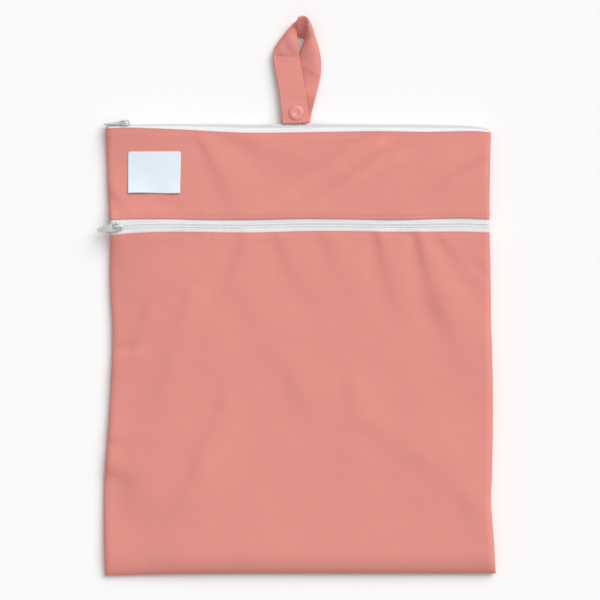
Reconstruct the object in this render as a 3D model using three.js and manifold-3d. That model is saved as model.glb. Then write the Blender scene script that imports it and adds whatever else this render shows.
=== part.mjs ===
import * as THREE from 'three';
import Module from 'manifold-3d';

const wasm = await Module();
wasm.setup();

// Driving sizes in millimetres. The bag lies on its back: +X right, +Y to the strap, +Z up.
const bagWidth = 305;
const bagHeight = 356;
const clothWall = 1;
const gap = 0.3;
const seamHeight = 3;
const bodyRise = 9.4;
const mouthRise = 8.6;
const sideRoll = 9;
const zipSideRoll = 2.5;
const mouthSideRoll = 5;
const bottomRoll = 18;
const rimReach = 9;
const cornerDrop = 1.6;

const frontZipDrop = 80.4;
const zipOpening = 10.3;
const tapeWall = 0.7;
const tapeAllowance = 6;
const coilWidth = 4;
const coilHeight = 1.6;
const sliderFromEdge = 6.8;
const topSliderFromEdge = 15.2;

const strapWidth = 18.5;
const strapWall = 1.4;
const strapReach = 84.5;
const strapOffset = -3.2;
const strapRootDepth = 5.5;

const snapDiameter = 12.4;
const snapCapHeight = 1.3;
const snapPostRadius = 2;
const snapFromTop = 8.6;
const snapSpan = 3.2;

const labelWidth = 42;
const labelHeight = 33.3;
const labelFromEdge = 16.4;
const labelFromTop = 22;
const labelWall = 1;

const sliderLength = 8.4;
const sliderWidth = 7;
const sliderPlate = 0.8;
const sliderPlay = 0.3;
const bridgeLength = 6.7;
const bridgeWidth = 2.2;
const bridgeWall = 0.8;
const pullLength = 16.9;
const pullWide = 6.8;
const pullNarrow = 3.2;
const pullWall = 0.9;
const pullHole = 1.2;
const windowWidth = 4.2;
const windowReach = 4.6;
const crossbarRadius = 0.5;
const pivotPlay = 0.75;
const pullDroop = THREE.MathUtils.degToRad(6);
const frontPullTurn = THREE.MathUtils.degToRad(7.5);
const sideSeamAngle = THREE.MathUtils.degToRad(90);

// Grid counts
const bodyColumns = 37;
const lowerRows = 18;
const rowCrowding = 1.3;
const upperRows = 8;
const strapSteps = 3;

const halfWidth = bagWidth / 2;
const bottomY = -bagHeight / 2;
const topY = bagHeight / 2;
const frontZipY = topY - frontZipDrop;
const tapeDepth = clothWall + gap + tapeWall / 2;

// Side edges: up is a share of the height from the bottom, left and right are shares of half the width.
const outlineRows = [
  { up: 0.000, left: 1.006, right: 1.016 },
  { up: 0.075, left: 1.011, right: 1.005 },
  { up: 0.165, left: 1.011, right: 0.990 },
  { up: 0.215, left: 1.009, right: 0.995 },
  { up: 0.330, left: 0.989, right: 1.000 },
  { up: 0.410, left: 0.978, right: 1.000 },
  { up: 0.505, left: 0.968, right: 0.995 },
  { up: 0.565, left: 0.969, right: 0.990 },
  { up: 0.630, left: 0.979, right: 0.989 },
  { up: 0.770, left: 0.982, right: 0.985 },
  { up: 0.850, left: 0.991, right: 0.984 },
  { up: 0.930, left: 0.998, right: 0.987 },
  { up: 1.000, left: 1.005, right: 0.992 },
];

// Mouth edges: across is a share of the width, front and rear are drops below the top in zip openings.
const mouthRows = [
  { across: 0.00, front: 0.36, rear: 0.02 },
  { across: 0.05, front: 0.29, rear: 0.01 },
  { across: 0.12, front: 0.36, rear: 0.00 },
  { across: 0.22, front: 0.51, rear: 0.00 },
  { across: 0.31, front: 0.68, rear: 0.00 },
  { across: 0.39, front: 0.76, rear: 0.05 },
  { across: 0.58, front: 0.69, rear: 0.00 },
  { across: 0.70, front: 0.62, rear: 0.05 },
  { across: 0.83, front: 0.67, rear: 0.06 },
  { across: 0.93, front: 0.61, rear: 0.16 },
  { across: 0.97, front: 0.63, rear: 0.30 },
  { across: 1.00, front: 0.80, rear: 0.62 },
];

// Front zip edges: across is a share of the width, upper and lower are shares of the zip opening.
const zipRows = [
  { across: 0.00, upper: 0.40, lower: 0.66 },
  { across: 0.05, upper: 0.48, lower: 0.57 },
  { across: 0.15, upper: 0.50, lower: 0.47 },
  { across: 0.24, upper: 0.43, lower: 0.49 },
  { across: 0.37, upper: 0.42, lower: 0.53 },
  { across: 0.49, upper: 0.50, lower: 0.44 },
  { across: 0.60, upper: 0.49, lower: 0.41 },
  { across: 0.75, upper: 0.42, lower: 0.47 },
  { across: 0.92, upper: 0.54, lower: 0.46 },
  { across: 1.00, upper: 0.46, lower: 0.52 },
];

// Soft folds: ends as shares of half the width and of the height, width as a share of half the width,
// depth as a share of the body rise.
const foldRows = [
  { x0: -0.47, y0: 0.960, x1: -0.31, y1: 0.800, width: 0.045, depth: 0.10 },
  { x0: 0.36, y0: 0.955, x1: -0.08, y1: 0.810, width: 0.045, depth: 0.12 },
  { x0: 0.49, y0: 0.920, x1: 0.12, y1: 0.800, width: 0.045, depth: 0.10 },
  { x0: 0.95, y0: 0.915, x1: 0.52, y1: 0.813, width: 0.050, depth: 0.10 },
  { x0: -0.22, y0: 0.942, x1: 0.09, y1: 0.942, width: 0.100, depth: 0.10 },
  { x0: 0.42, y0: 0.740, x1: 0.52, y1: 0.631, width: 0.045, depth: 0.13 },
  { x0: 0.63, y0: 0.740, x1: 0.76, y1: 0.598, width: 0.045, depth: 0.16 },
  { x0: 0.73, y0: 0.729, x1: 0.93, y1: 0.658, width: 0.050, depth: 0.10 },
  { x0: -0.10, y0: 0.740, x1: 0.04, y1: 0.642, width: 0.045, depth: 0.10 },
  { x0: -0.28, y0: 0.733, x1: -0.48, y1: 0.531, width: 0.050, depth: 0.10 },
  { x0: -0.55, y0: 0.609, x1: -0.77, y1: 0.331, width: 0.055, depth: 0.12 },
  { x0: -0.78, y0: 0.538, x1: -0.95, y1: 0.455, width: 0.045, depth: 0.15 },
  { x0: -0.40, y0: 0.354, x1: -0.66, y1: 0.116, width: 0.050, depth: 0.18 },
  { x0: -0.22, y0: 0.520, x1: 0.10, y1: 0.376, width: 0.090, depth: 0.10 },
  { x0: 0.40, y0: 0.347, x1: 0.73, y1: 0.236, width: 0.070, depth: 0.12 },
  { x0: 0.73, y0: 0.236, x1: 0.93, y1: 0.121, width: 0.070, depth: 0.12 },
  { x0: 0.75, y0: 0.598, x1: 0.90, y1: 0.493, width: 0.060, depth: 0.10 },
  { x0: -0.93, y0: 0.200, x1: -0.77, y1: 0.187, width: 0.055, depth: 0.12 },
];

// Strap loop, from the root up the rear leg, round the arch and down the front leg to its free end.
// low and high are the strip's two edges: x in strap widths from the strap's middle, y in strap reaches
// above the top of the bag. base is the low edge's height in strap walls.
const strapRows = [
  { lowX: -0.38, lowY: -0.065, highX: 0.62, highY: -0.065, base: 1.50 },
  { lowX: -0.38, lowY: 0.045, highX: 0.62, highY: 0.045, base: 1.50 },
  { lowX: -0.32, lowY: 0.120, highX: 0.68, highY: 0.135, base: 1.40 },
  { lowX: -0.17, lowY: 0.280, highX: 0.82, highY: 0.310, base: 1.00 },
  { lowX: -0.02, lowY: 0.440, highX: 0.97, highY: 0.460, base: 0.75 },
  { lowX: 0.08, lowY: 0.545, highX: 1.06, highY: 0.535, base: 0.70 },
  { lowX: 0.20, lowY: 0.650, highX: 1.01, highY: 0.632, base: 0.60 },
  { lowX: 0.33, lowY: 0.725, highX: 0.89, highY: 0.740, base: 0.45 },
  { lowX: 0.40, lowY: 0.785, highX: 0.74, highY: 0.860, base: 0.45 },
  { lowX: 0.30, lowY: 0.812, highX: 0.57, highY: 0.940, base: 0.60 },
  { lowX: 0.09, lowY: 0.828, highX: 0.34, highY: 0.998, base: 0.60 },
  { lowX: -0.02, lowY: 0.915, highX: 0.10, highY: 0.985, base: 0.50 },
  { lowX: -0.20, lowY: 0.912, highX: 0.06, highY: 0.920, base: 0.50 },
  { lowX: -0.45, lowY: 0.855, highX: 0.07, highY: 0.845, base: 0.60 },
  { lowX: -0.66, lowY: 0.765, highX: 0.08, highY: 0.755, base: 0.90 },
  { lowX: -0.87, lowY: 0.680, highX: 0.10, highY: 0.675, base: 1.60 },
  { lowX: -0.90, lowY: 0.580, highX: 0.095, highY: 0.585, base: 2.30 },
  { lowX: -0.83, lowY: 0.440, highX: 0.165, highY: 0.445, base: 3.20 },
  { lowX: -0.70, lowY: 0.260, highX: 0.295, highY: 0.255, base: 4.30 },
  { lowX: -0.60, lowY: 0.120, highX: 0.40, highY: 0.120, base: 4.93 },
  { lowX: -0.57, lowY: 0.012, highX: 0.43, highY: 0.024, base: 4.93 },
];

const mix = THREE.MathUtils.lerp;

function bell(offset, reach) {
  return Math.exp(-((offset / reach) ** 2));
}

// Smooth value of one column between the rows of a table.
function along(rows, key, column, at) {
  const last = rows.length - 1;
  const next = rows.findIndex((row) => row[key] > at);
  const i = next < 0 ? last - 1 : Math.max(next - 1, 0);
  const near = (k) => rows[Math.min(Math.max(k, 0), last)];
  const slope = (k) => (near(k + 1)[column] - near(k - 1)[column])
    / (near(k + 1)[key] - near(k - 1)[key]);
  const span = rows[i + 1][key] - rows[i][key];
  const t = Math.min(Math.max((at - rows[i][key]) / span, 0), 1);
  const rise = t * t * (3 - 2 * t);
  return mix(rows[i][column], rows[i + 1][column], rise)
    + span * (t * (1 - t) ** 2 * slope(i) - t * t * (1 - t) * slope(i + 1));
}

function edgeX(side, y) {
  const up = (y - bottomY) / bagHeight;
  return side === 'left' ? -halfWidth * along(outlineRows, 'up', 'left', up)
    : halfWidth * along(outlineRows, 'up', 'right', up);
}

function acrossShare(x, y) {
  const left = edgeX('left', y);
  return (x - left) / (edgeX('right', y) - left);
}

function rollAt(y) {
  return sideRoll - (sideRoll - zipSideRoll) * bell(y - frontZipY, 24)
    - (sideRoll - mouthSideRoll) * bell(y - topY, 30);
}

function zipEdgeY(which, x) {
  const share = along(zipRows, 'across', which, acrossShare(x, frontZipY));
  return frontZipY + (which === 'upper' ? share : -share) * zipOpening;
}

function mouthY(which, x) {
  return topY - along(mouthRows, 'across', which, acrossShare(x, topY)) * zipOpening;
}

function foldDepth(x, y) {
  let sum = 0;
  for (const fold of foldRows) {
    const start = new THREE.Vector2(fold.x0 * halfWidth, bottomY + fold.y0 * bagHeight);
    const way = new THREE.Vector2(fold.x1 * halfWidth, bottomY + fold.y1 * bagHeight).sub(start);
    const here = new THREE.Vector2(x, y).sub(start);
    const t = here.dot(way) / way.lengthSq();
    const beyond = Math.max(-t, t - 1, 0) * way.length();
    const across = Math.abs(here.cross(way)) / way.length();
    const width = fold.width * halfWidth;
    sum += fold.depth * bodyRise * bell(across, width) * bell(beyond, 2 * width);
  }
  const calm = 1 - bell(y - frontZipY, 9);
  const calmMouth = 1 - bell(y - topY, 10);
  return sum * calm * calmMouth;
}

function riseAt(x, y) {
  return mix(bodyRise, mouthRise, bell(y - topY, 45)) - foldDepth(x, y);
}

// Columns run from one side seam to the other: a roll, the middle and the other roll.
const rollAngles = [0, 22, 46, 68].map((degrees) => sideSeamAngle * degrees / 90);
const columns = [
  ...rollAngles.map((angle) => ({ side: -1, share: 0, angle })),
  ...Array.from({ length: bodyColumns }, (_, i) => ({ side: 0, share: i / (bodyColumns - 1), angle: sideSeamAngle })),
  ...rollAngles.toReversed().map((angle) => ({ side: 1, share: 1, angle })),
];

function bottomAt(x) {
  return bottomY - cornerDrop * Math.max(-x / halfWidth, 0) ** 3;
}

// A point of the front cloth, or of anything that follows it, at a depth below its outer face.
function skin(column, row, depth) {
  const roll = rollAt(row.y);
  const left = edgeX('left', row.y) + roll;
  const right = edgeX('right', row.y) - roll;
  const x = mix(left, right, column.share) + column.side * (roll - depth) * Math.cos(column.angle);
  const y = row.angle === undefined ? row.y
    : bottomAt(x) + bottomRoll - (bottomRoll - depth) * Math.cos(row.angle);
  const lift = Math.sin(column.angle) * (row.angle === undefined ? 1 : Math.sin(row.angle));
  return new THREE.Vector3(x, y, seamHeight + (riseAt(x, y) - depth) * lift);
}

function columnX(column, y) {
  return skin(column, { y }, 0).x;
}

// A closed sheet between two grids of points, row by row, with its rim closed.
function sheetGeometry(outer, inner) {
  const rows = outer.length;
  const count = outer[0].length;
  const points = [...outer.flat(), ...inner.flat()];
  const index = [];
  const quad = (a, b, c, d) => index.push(a, b, c, a, c, d);
  const top = (i, j) => i * count + j;
  const under = (i, j) => rows * count + i * count + j;
  for (let i = 0; i < rows - 1; i += 1) {
    for (let j = 0; j < count - 1; j += 1) {
      quad(top(i, j), top(i, j + 1), top(i + 1, j + 1), top(i + 1, j));
      quad(under(i, j), under(i + 1, j), under(i + 1, j + 1), under(i, j + 1));
    }
    quad(top(i, 0), top(i + 1, 0), under(i + 1, 0), under(i, 0));
    quad(top(i, count - 1), under(i, count - 1), under(i + 1, count - 1), top(i + 1, count - 1));
  }
  for (let j = 0; j < count - 1; j += 1) {
    quad(top(0, j), under(0, j), under(0, j + 1), top(0, j + 1));
    quad(top(rows - 1, j), top(rows - 1, j + 1), under(rows - 1, j + 1), under(rows - 1, j));
  }
  const geometry = new THREE.BufferGeometry().setFromPoints(points);
  geometry.setIndex(index);
  return geometry;
}

function toManifold(geometry) {
  const plain = geometry.index ? geometry.toNonIndexed() : geometry;
  const position = plain.getAttribute('position');
  const keys = new Map();
  const vertices = [];
  const triangles = [];
  for (let i = 0; i < position.count; i += 1) {
    const xyz = [position.getX(i), position.getY(i), position.getZ(i)];
    const key = xyz.map((value) => Math.round(value * 1e4)).join(' ');
    if (!keys.has(key)) {
      keys.set(key, vertices.length / 3);
      vertices.push(...xyz);
    }
    triangles.push(keys.get(key));
  }
  const kept = [];
  for (let i = 0; i < triangles.length; i += 3) {
    const [a, b, c] = triangles.slice(i, i + 3);
    if (a !== b && b !== c && a !== c) kept.push(a, b, c);
  }
  const mesh = new wasm.Mesh({
    numProp: 3,
    vertProperties: new Float32Array(vertices),
    triVerts: new Uint32Array(kept),
  });
  return new wasm.Manifold(mesh);
}

function toGeometry(manifold) {
  const mesh = manifold.getMesh();
  const geometry = new THREE.BufferGeometry();
  geometry.setAttribute('position', new THREE.BufferAttribute(new Float32Array(mesh.vertProperties), 3));
  geometry.setIndex(new THREE.BufferAttribute(new Uint32Array(mesh.triVerts), 1));
  return geometry;
}

function box(x0, x1, y0, y1, z0, z1) {
  const geometry = new THREE.BoxGeometry(x1 - x0, y1 - y0, z1 - z0);
  geometry.translate((x0 + x1) / 2, (y0 + y1) / 2, (z0 + z1) / 2);
  return geometry;
}

function drum(radius, z0, z1, x = 0, y = 0, sides = 16) {
  const geometry = new THREE.CylinderGeometry(radius, radius, z1 - z0, sides);
  geometry.rotateX(Math.PI / 2);
  geometry.translate(x, y, (z0 + z1) / 2);
  return geometry;
}

function join(geometries) {
  return geometries.map(toManifold).reduce((sum, part) => sum.add(part));
}

// How far the back panel's rim turns up, from 1 at its edge to 0 where it lies flat.
function upturn(distance) {
  return Math.max(1 - distance / rimReach, 0) ** 2;
}

const rimLift = seamHeight - gap - clothWall;

function sideLift(x, y) {
  return rimLift * upturn(Math.min(x - edgeX('left', y), edgeX('right', y) - x));
}

// Back panel: a shallow tray, flat where it rests, whose rim turns up to the side and bottom seams.
function backPanel() {
  const edgeSteps = [0, 0.25, 0.55, 1].map((share) => share * rimReach);
  const point = (xStep, yStep, z) => {
    const y = yStep.fromBottom === undefined
      ? mix(bottomY + rimReach, topY - tapeWall, yStep.share) : bottomY + yStep.fromBottom;
    const left = edgeX('left', y);
    const right = edgeX('right', y);
    const x = xStep.fromEdge === undefined ? mix(left + rimReach, right - rimReach, xStep.share)
      : xStep.side < 0 ? left + xStep.fromEdge : right - xStep.fromEdge;
    const sideTurn = xStep.fromEdge === undefined ? 0 : upturn(xStep.fromEdge);
    const footTurn = yStep.fromBottom === undefined ? 0 : upturn(yStep.fromBottom);
    const drop = yStep.fromBottom === undefined ? 0 : (bottomY - bottomAt(x)) * footTurn;
    const lift = sideTurn + footTurn - sideTurn * footTurn;
    return new THREE.Vector3(x, Math.min(y - drop, mouthY('rear', x) - tapeWall), z + rimLift * lift);
  };
  const middle = Array.from({ length: 9 }, (_, i) => ({ share: (i + 1) / 10 }));
  const xSteps = [
    ...edgeSteps.map((fromEdge) => ({ side: -1, fromEdge })),
    ...middle,
    ...edgeSteps.toReversed().map((fromEdge) => ({ side: 1, fromEdge })),
  ];
  const ySteps = [
    ...edgeSteps.map((fromBottom) => ({ fromBottom })),
    ...Array.from({ length: 12 }, (_, i) => ({ share: (i + 1) / 12 })),
  ];
  const grid = (z) => ySteps.map((yStep) => xSteps.map((xStep) => point(xStep, yStep, z)));
  return sheetGeometry(grid(clothWall), grid(0));
}

function lowerFrontPanel() {
  const bottomAngles = [0, 20, 42, 66].map((degrees) => ({ angle: THREE.MathUtils.degToRad(degrees) }));
  const grid = (depth) => {
    const rolled = bottomAngles.map((row) => columns.map((column) => skin(
      column, { angle: row.angle, y: bottomY + bottomRoll * (1 - Math.cos(row.angle)) }, depth)));
    const flat = Array.from({ length: lowerRows }, (_, i) => columns.map((column) => {
      const edge = zipEdgeY('lower', columnX(column, frontZipY));
      const share = 1 - (1 - i / (lowerRows - 1)) ** rowCrowding;
      return skin(column, { y: mix(bottomY + bottomRoll, edge, share) }, depth);
    }));
    return [...rolled, ...flat];
  };
  return sheetGeometry(grid(0), grid(clothWall));
}

function upperFrontPanel() {
  const grid = (depth) => Array.from({ length: upperRows }, (_, i) => columns.map((column) => {
    const low = zipEdgeY('upper', columnX(column, frontZipY));
    const high = mouthY('front', columnX(column, topY));
    return skin(column, { y: mix(low, high, i / (upperRows - 1)) }, depth);
  }));
  return sheetGeometry(grid(0), grid(clothWall));
}

// The top zip runs between the side walls, so it skips the steep part of the rolls.
const zipColumns = columns.filter((column) => column.angle > sideSeamAngle * 0.5);

// Section frames of the front zip: a point on its middle line, its way across and its face direction.
function frontBand(column) {
  const x = columnX(column, frontZipY);
  const upper = zipEdgeY('upper', x);
  const lower = zipEdgeY('lower', x);
  return { upper, lower, centre: skin(column, { y: (upper + lower) / 2 }, tapeDepth) };
}

function offsetSheet(polylines, wall) {
  const side = (sign) => polylines.map((points) => points.map((point, j) => {
    const before = points[Math.max(j - 1, 0)];
    const after = points[Math.min(j + 1, points.length - 1)];
    const way = after.clone().sub(before);
    const normal = new THREE.Vector3(0, -way.z, way.y).normalize();
    return point.clone().addScaledVector(normal, sign * wall / 2);
  }));
  return sheetGeometry(side(-1), side(1));
}

function frontTape(which) {
  const sign = which === 'upper' ? 1 : -1;
  const grid = (depth) => {
    const lines = columns.map((column) => {
      const band = frontBand(column);
      const inner = skin(column, { y: band.centre.y + sign * (coilWidth / 2 + gap) }, depth);
      const edge = skin(column, { y: band[which] }, depth);
      const far = skin(column, { y: band[which] + sign * tapeAllowance }, depth);
      return sign > 0 ? [far, edge, inner] : [inner, edge, far];
    });
    return lines;
  };
  return sheetGeometry(grid(clothWall + gap), grid(clothWall + gap + tapeWall));
}

function mouthBand(column) {
  const front = skin(column, { y: mouthY('front', columnX(column, topY)) }, tapeDepth);
  const hem = skin(column, { y: front.y - tapeAllowance }, tapeDepth);
  front.y += tapeWall / 2;
  const lift = (strapWall + gap) * Math.min(1, 1.6 * bell(front.x - strapOffset - 0.12 * strapWidth, strapWidth));
  const seat = clothWall + gap + tapeWall / 2 + Math.max(lift, 1.15 * sideLift(front.x, topY));
  const rearY = mouthY('rear', front.x) - tapeWall / 2;
  const rear = new THREE.Vector3(front.x, rearY, seat + 1);
  const fold = new THREE.Vector3(front.x, rearY - tapeWall, seat);
  const tuck = new THREE.Vector3(front.x, rearY - tapeAllowance, seat);
  const across = rear.clone().sub(front).normalize();
  const centre = front.clone().lerp(rear, 0.5);
  return { hem, front, rear, fold, tuck, across, centre };
}

function topFrontTape() {
  return offsetSheet(zipColumns.map((column) => {
    const band = mouthBand(column);
    const inner = band.centre.clone().addScaledVector(band.across, -(coilWidth / 2 + gap));
    return [inner, band.front, band.hem];
  }), tapeWall);
}

function topRearTape() {
  return offsetSheet(zipColumns.map((column) => {
    const band = mouthBand(column);
    const inner = band.centre.clone().addScaledVector(band.across, coilWidth / 2 + gap);
    return [band.tuck, band.fold, band.rear, inner];
  }), tapeWall);
}

// The point at one X on a line of points that runs along the zip.
function middleAt(points, x) {
  const next = points.findIndex((point) => point.x > x);
  const share = (x - points[next - 1].x) / (points[next].x - points[next - 1].x);
  return points[next - 1].clone().lerp(points[next], share);
}

// Coil halves meshed into one ribbed cord, plain here: a low octagon along the middle of the zip.
function coil(frames) {
  const half = coilWidth / 2;
  const crown = coilHeight / 2;
  const side = (sign) => frames.map(({ centre, across, face }) => [-half, -half / 2, half / 2, half].map(
    (v) => centre.clone().addScaledVector(across, v)
      .addScaledVector(face, sign * (Math.abs(v) === half ? crown / 4 : crown))));
  return sheetGeometry(side(1), side(-1));
}

function frontCoil() {
  const start = edgeX('left', frontZipY) + sliderFromEdge - sliderLength / 4;
  const middle = zipColumns.map((column) => frontBand(column).centre);
  const across = new THREE.Vector3(0, -1, 0);
  const face = new THREE.Vector3(0, 0, 1);
  return coil([middleAt(middle, start), ...middle.filter((centre) => centre.x > start + gap)]
    .map((centre) => ({ centre, across, face })));
}

function topCoil() {
  const start = edgeX('left', topY) + topSliderFromEdge - sliderLength / 4;
  const bands = zipColumns.map(mouthBand);
  const kept = bands.filter((band) => band.centre.x > start + gap);
  const first = { across: kept[0].across, centre: middleAt(bands.map((band) => band.centre), start) };
  return coil([first, ...kept].map((band) => {
    const face = new THREE.Vector3(1, 0, 0).cross(band.across).normalize();
    return { centre: band.centre, across: band.across.clone().negate(), face };
  }));
}

// Strap stations: the two edges of the strip at constant width, and the strip's face direction.
function strapLine() {
  const rows = strapRows.map((row) => {
    const place = (x, y) => new THREE.Vector2(strapOffset + x * strapWidth, topY + y * strapReach);
    const low = place(row.lowX, row.lowY);
    const high = place(row.highX, row.highY);
    const reach = Math.min(high.distanceTo(low), strapWidth);
    const base = row.base * strapWall;
    const top = base + Math.sqrt(strapWidth ** 2 - reach ** 2);
    return { low: new THREE.Vector3(low.x, low.y, base), high: new THREE.Vector3(high.x, high.y, top) };
  });
  const curves = ['low', 'high'].map((edge) => new THREE.CatmullRomCurve3(
    rows.map((row) => row[edge]), false, 'centripetal'));
  const count = (rows.length - 1) * strapSteps + 1;
  return Array.from({ length: count }, (_, i) => {
    const t = i / (count - 1);
    const [low, high] = curves.map((curve) => curve.getPoint(t));
    const middle = low.clone().lerp(high, 0.5);
    const reach = high.clone().sub(low).normalize().multiplyScalar(strapWidth / 2);
    return { low: middle.clone().sub(reach), high: middle.clone().add(reach) };
  });
}

function strap() {
  const line = strapLine();
  const spread = [0, 0.5, 1];
  const middle = line.map(({ low, high }) => spread.map((share) => low.clone().lerp(high, share)));
  const side = (sign) => middle.map((points, i) => points.map((point, j) => {
    const before = middle[Math.max(i - 1, 0)][j];
    const after = middle[Math.min(i + 1, middle.length - 1)][j];
    const across = line[i].high.clone().sub(line[i].low);
    const normal = after.clone().sub(before).cross(across).normalize();
    return point.clone().addScaledVector(normal, sign * strapWall / 2);
  }));
  const hole = drum(snapPostRadius + gap, -1, bodyRise, snapPlace.x, snapPlace.y);
  return toGeometry(toManifold(sheetGeometry(side(-1), side(1))).subtract(toManifold(hole)));
}

const snapPlace = new THREE.Vector2(strapOffset + 0.03 * strapWidth, topY + snapFromTop);
const rearLegTop = strapRows[1].base * strapWall + strapWall / 2;
const frontLegUnder = strapRows[19].base * strapWall - strapWall / 2;

function dome(radius, z0, height, sign) {
  const profile = [
    new THREE.Vector2(0, 0), new THREE.Vector2(radius, 0), new THREE.Vector2(radius, height * 0.45),
    new THREE.Vector2(radius * 0.93, height * 0.8), new THREE.Vector2(radius * 0.72, height),
    new THREE.Vector2(radius * 0.3, height * 0.9), new THREE.Vector2(0, height * 0.86),
  ];
  const geometry = new THREE.LatheGeometry(profile, 20);
  geometry.rotateX(sign * Math.PI / 2);
  geometry.translate(snapPlace.x, snapPlace.y, z0);
  return geometry;
}

function snapFront() {
  const capSeat = frontLegUnder + strapWall + gap;
  const socketRadius = snapDiameter * 0.42;
  const socketFoot = frontLegUnder - gap - snapSpan / 2 + gap;
  const { x, y } = snapPlace;
  return toGeometry(join([
    dome(snapDiameter / 2, capSeat, snapCapHeight, 1),
    drum(snapPostRadius, socketFoot + gap, capSeat + gap, x, y),
    drum(socketRadius, socketFoot, frontLegUnder - gap, x, y),
  ]));
}

function snapBack() {
  const seat = rearLegTop - strapWall - gap;
  const capHeight = seat - gap / 3;
  const studTop = rearLegTop + gap + snapSpan / 4;
  const { x, y } = snapPlace;
  return toGeometry(join([
    dome(snapDiameter / 2, seat, capHeight, -1),
    drum(snapPostRadius, seat - gap, studTop - gap, x, y),
    drum(snapDiameter * 0.4, rearLegTop + gap, studTop, x, y),
  ]));
}

function nameLabel() {
  const left = edgeX('left', topY - labelFromTop) + labelFromEdge;
  const top = topY - labelFromTop;
  const xs = [0, 0.2, 0.4, 0.6, 0.8, 1].map((share) => left + share * labelWidth);
  const ys = [0, 0.25, 0.5, 0.75, 1].map((share) => top - (1 - share) * labelHeight);
  const grid = (rise) => ys.map((y) => xs.map(
    (x) => new THREE.Vector3(x, y, seamHeight + riseAt(x, y) + rise)));
  return sheetGeometry(grid(gap + labelWall), grid(gap));
}

// Slider in its own frame: X along the zip, Y across it, Z out of its face, origin in the tape's middle.
const plateInner = coilHeight / 2 + sliderPlay;
const plateOuter = plateInner + sliderPlate;
const pivotHeight = plateOuter + pivotPlay + crossbarRadius;
const bridgeUnder = pivotHeight + crossbarRadius + gap;
const lipInner = tapeWall / 2 + sliderPlay;

function plateShape() {
  const half = sliderWidth / 2;
  const nose = sliderLength / 2;
  const shape = new THREE.Shape();
  shape.moveTo(-nose, -half * 0.75);
  shape.lineTo(-nose * 0.55, -half);
  shape.lineTo(nose * 0.7, -half * 0.86);
  shape.lineTo(nose, -half * 0.55);
  shape.lineTo(nose, half * 0.55);
  shape.lineTo(nose * 0.7, half * 0.86);
  shape.lineTo(-nose * 0.55, half);
  shape.lineTo(-nose, half * 0.75);
  shape.closePath();
  return shape;
}

function sliderBody() {
  const plate = (z) => {
    const geometry = new THREE.ExtrudeGeometry(plateShape(), { depth: sliderPlate, bevelEnabled: false });
    geometry.translate(0, 0, z);
    return geometry;
  };
  const half = sliderWidth / 2;
  const nose = sliderLength / 2;
  const lips = [-1, 1].flatMap((side) => [-1, 1].map((face) => {
    const [y0, y1] = [side * (half * 0.84 - 0.5), side * half * 0.84].toSorted((a, b) => a - b);
    const [z0, z1] = [face * lipInner, face * (plateInner + sliderPlate / 2)].toSorted((a, b) => a - b);
    return box(-nose * 0.6, nose * 0.65, y0, y1, z0, z1);
  }));
  const neck = box(-nose, -nose * 0.62, -coilWidth * 0.3, coilWidth * 0.3, -plateInner - 0.2, plateInner + 0.2);
  const arch = new THREE.Shape();
  const foot = bridgeLength / 2;
  const top = bridgeUnder + bridgeWall;
  arch.moveTo(-foot, plateInner + 0.2);
  arch.lineTo(-foot, top - 1);
  arch.lineTo(-foot + 1, top);
  arch.lineTo(foot - 1, top);
  arch.lineTo(foot, top - 1);
  arch.lineTo(foot, plateInner + 0.2);
  arch.lineTo(foot - bridgeWall, plateInner + 0.2);
  arch.lineTo(foot - bridgeWall, bridgeUnder - 0.4);
  arch.lineTo(foot - bridgeWall - 0.4, bridgeUnder);
  arch.lineTo(-foot + bridgeWall + 0.4, bridgeUnder);
  arch.lineTo(-foot + bridgeWall, bridgeUnder - 0.4);
  arch.lineTo(-foot + bridgeWall, plateInner + 0.2);
  arch.closePath();
  const bridge = new THREE.ExtrudeGeometry(arch, { depth: bridgeWidth, bevelEnabled: false });
  bridge.rotateX(Math.PI / 2);
  bridge.translate(0, bridgeWidth / 2, 0);
  return toGeometry(join([plate(plateInner), plate(-plateOuter), neck, bridge, ...lips]));
}

// Pull in its own frame: its crossbar on the Y axis through the origin, its tab towards -X.
function pullTab() {
  const shape = new THREE.Shape();
  const shoulder = crossbarRadius;
  const wide = pullWide / 2;
  const narrow = pullNarrow / 2;
  const corner = 0.8;
  shape.moveTo(shoulder, -wide + corner);
  shape.lineTo(shoulder, wide - corner);
  shape.lineTo(-corner, wide);
  shape.lineTo(-windowReach - 1, wide * 0.96);
  shape.lineTo(-pullLength + corner, narrow);
  shape.lineTo(-pullLength, narrow - corner);
  shape.lineTo(-pullLength, -narrow + corner);
  shape.lineTo(-pullLength + corner, -narrow);
  shape.lineTo(-windowReach - 1, -wide * 0.96);
  shape.lineTo(-corner, -wide);
  shape.closePath();
  const window = new THREE.Path();
  window.moveTo(-crossbarRadius, -windowWidth / 2);
  window.lineTo(-windowReach, -windowWidth / 2);
  window.lineTo(-windowReach, windowWidth / 2);
  window.lineTo(-crossbarRadius, windowWidth / 2);
  window.closePath();
  const eye = new THREE.Path();
  eye.absarc(-pullLength + 2, 0, pullHole / 2, 0, Math.PI * 2, true);
  shape.holes.push(window, eye);
  const geometry = new THREE.ExtrudeGeometry(shape, { depth: pullWall, bevelEnabled: false, curveSegments: 6 });
  geometry.translate(0, 0, -pullWall / 2);
  return geometry;
}

function material(color, roughness, metalness = 0) {
  return new THREE.MeshStandardMaterial({ color, roughness, metalness });
}

const bag = new THREE.Group();
const cloth = () => material(0xdf9187, 0.8);
const tapeCloth = () => material(0xe6e7e6, 0.75);
const metal = () => material(0xc9ccca, 0.35, 0.7);

function add(parent, name, geometry, finish) {
  const mesh = new THREE.Mesh(geometry, finish);
  mesh.name = name;
  parent.add(mesh);
  return mesh;
}

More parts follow.
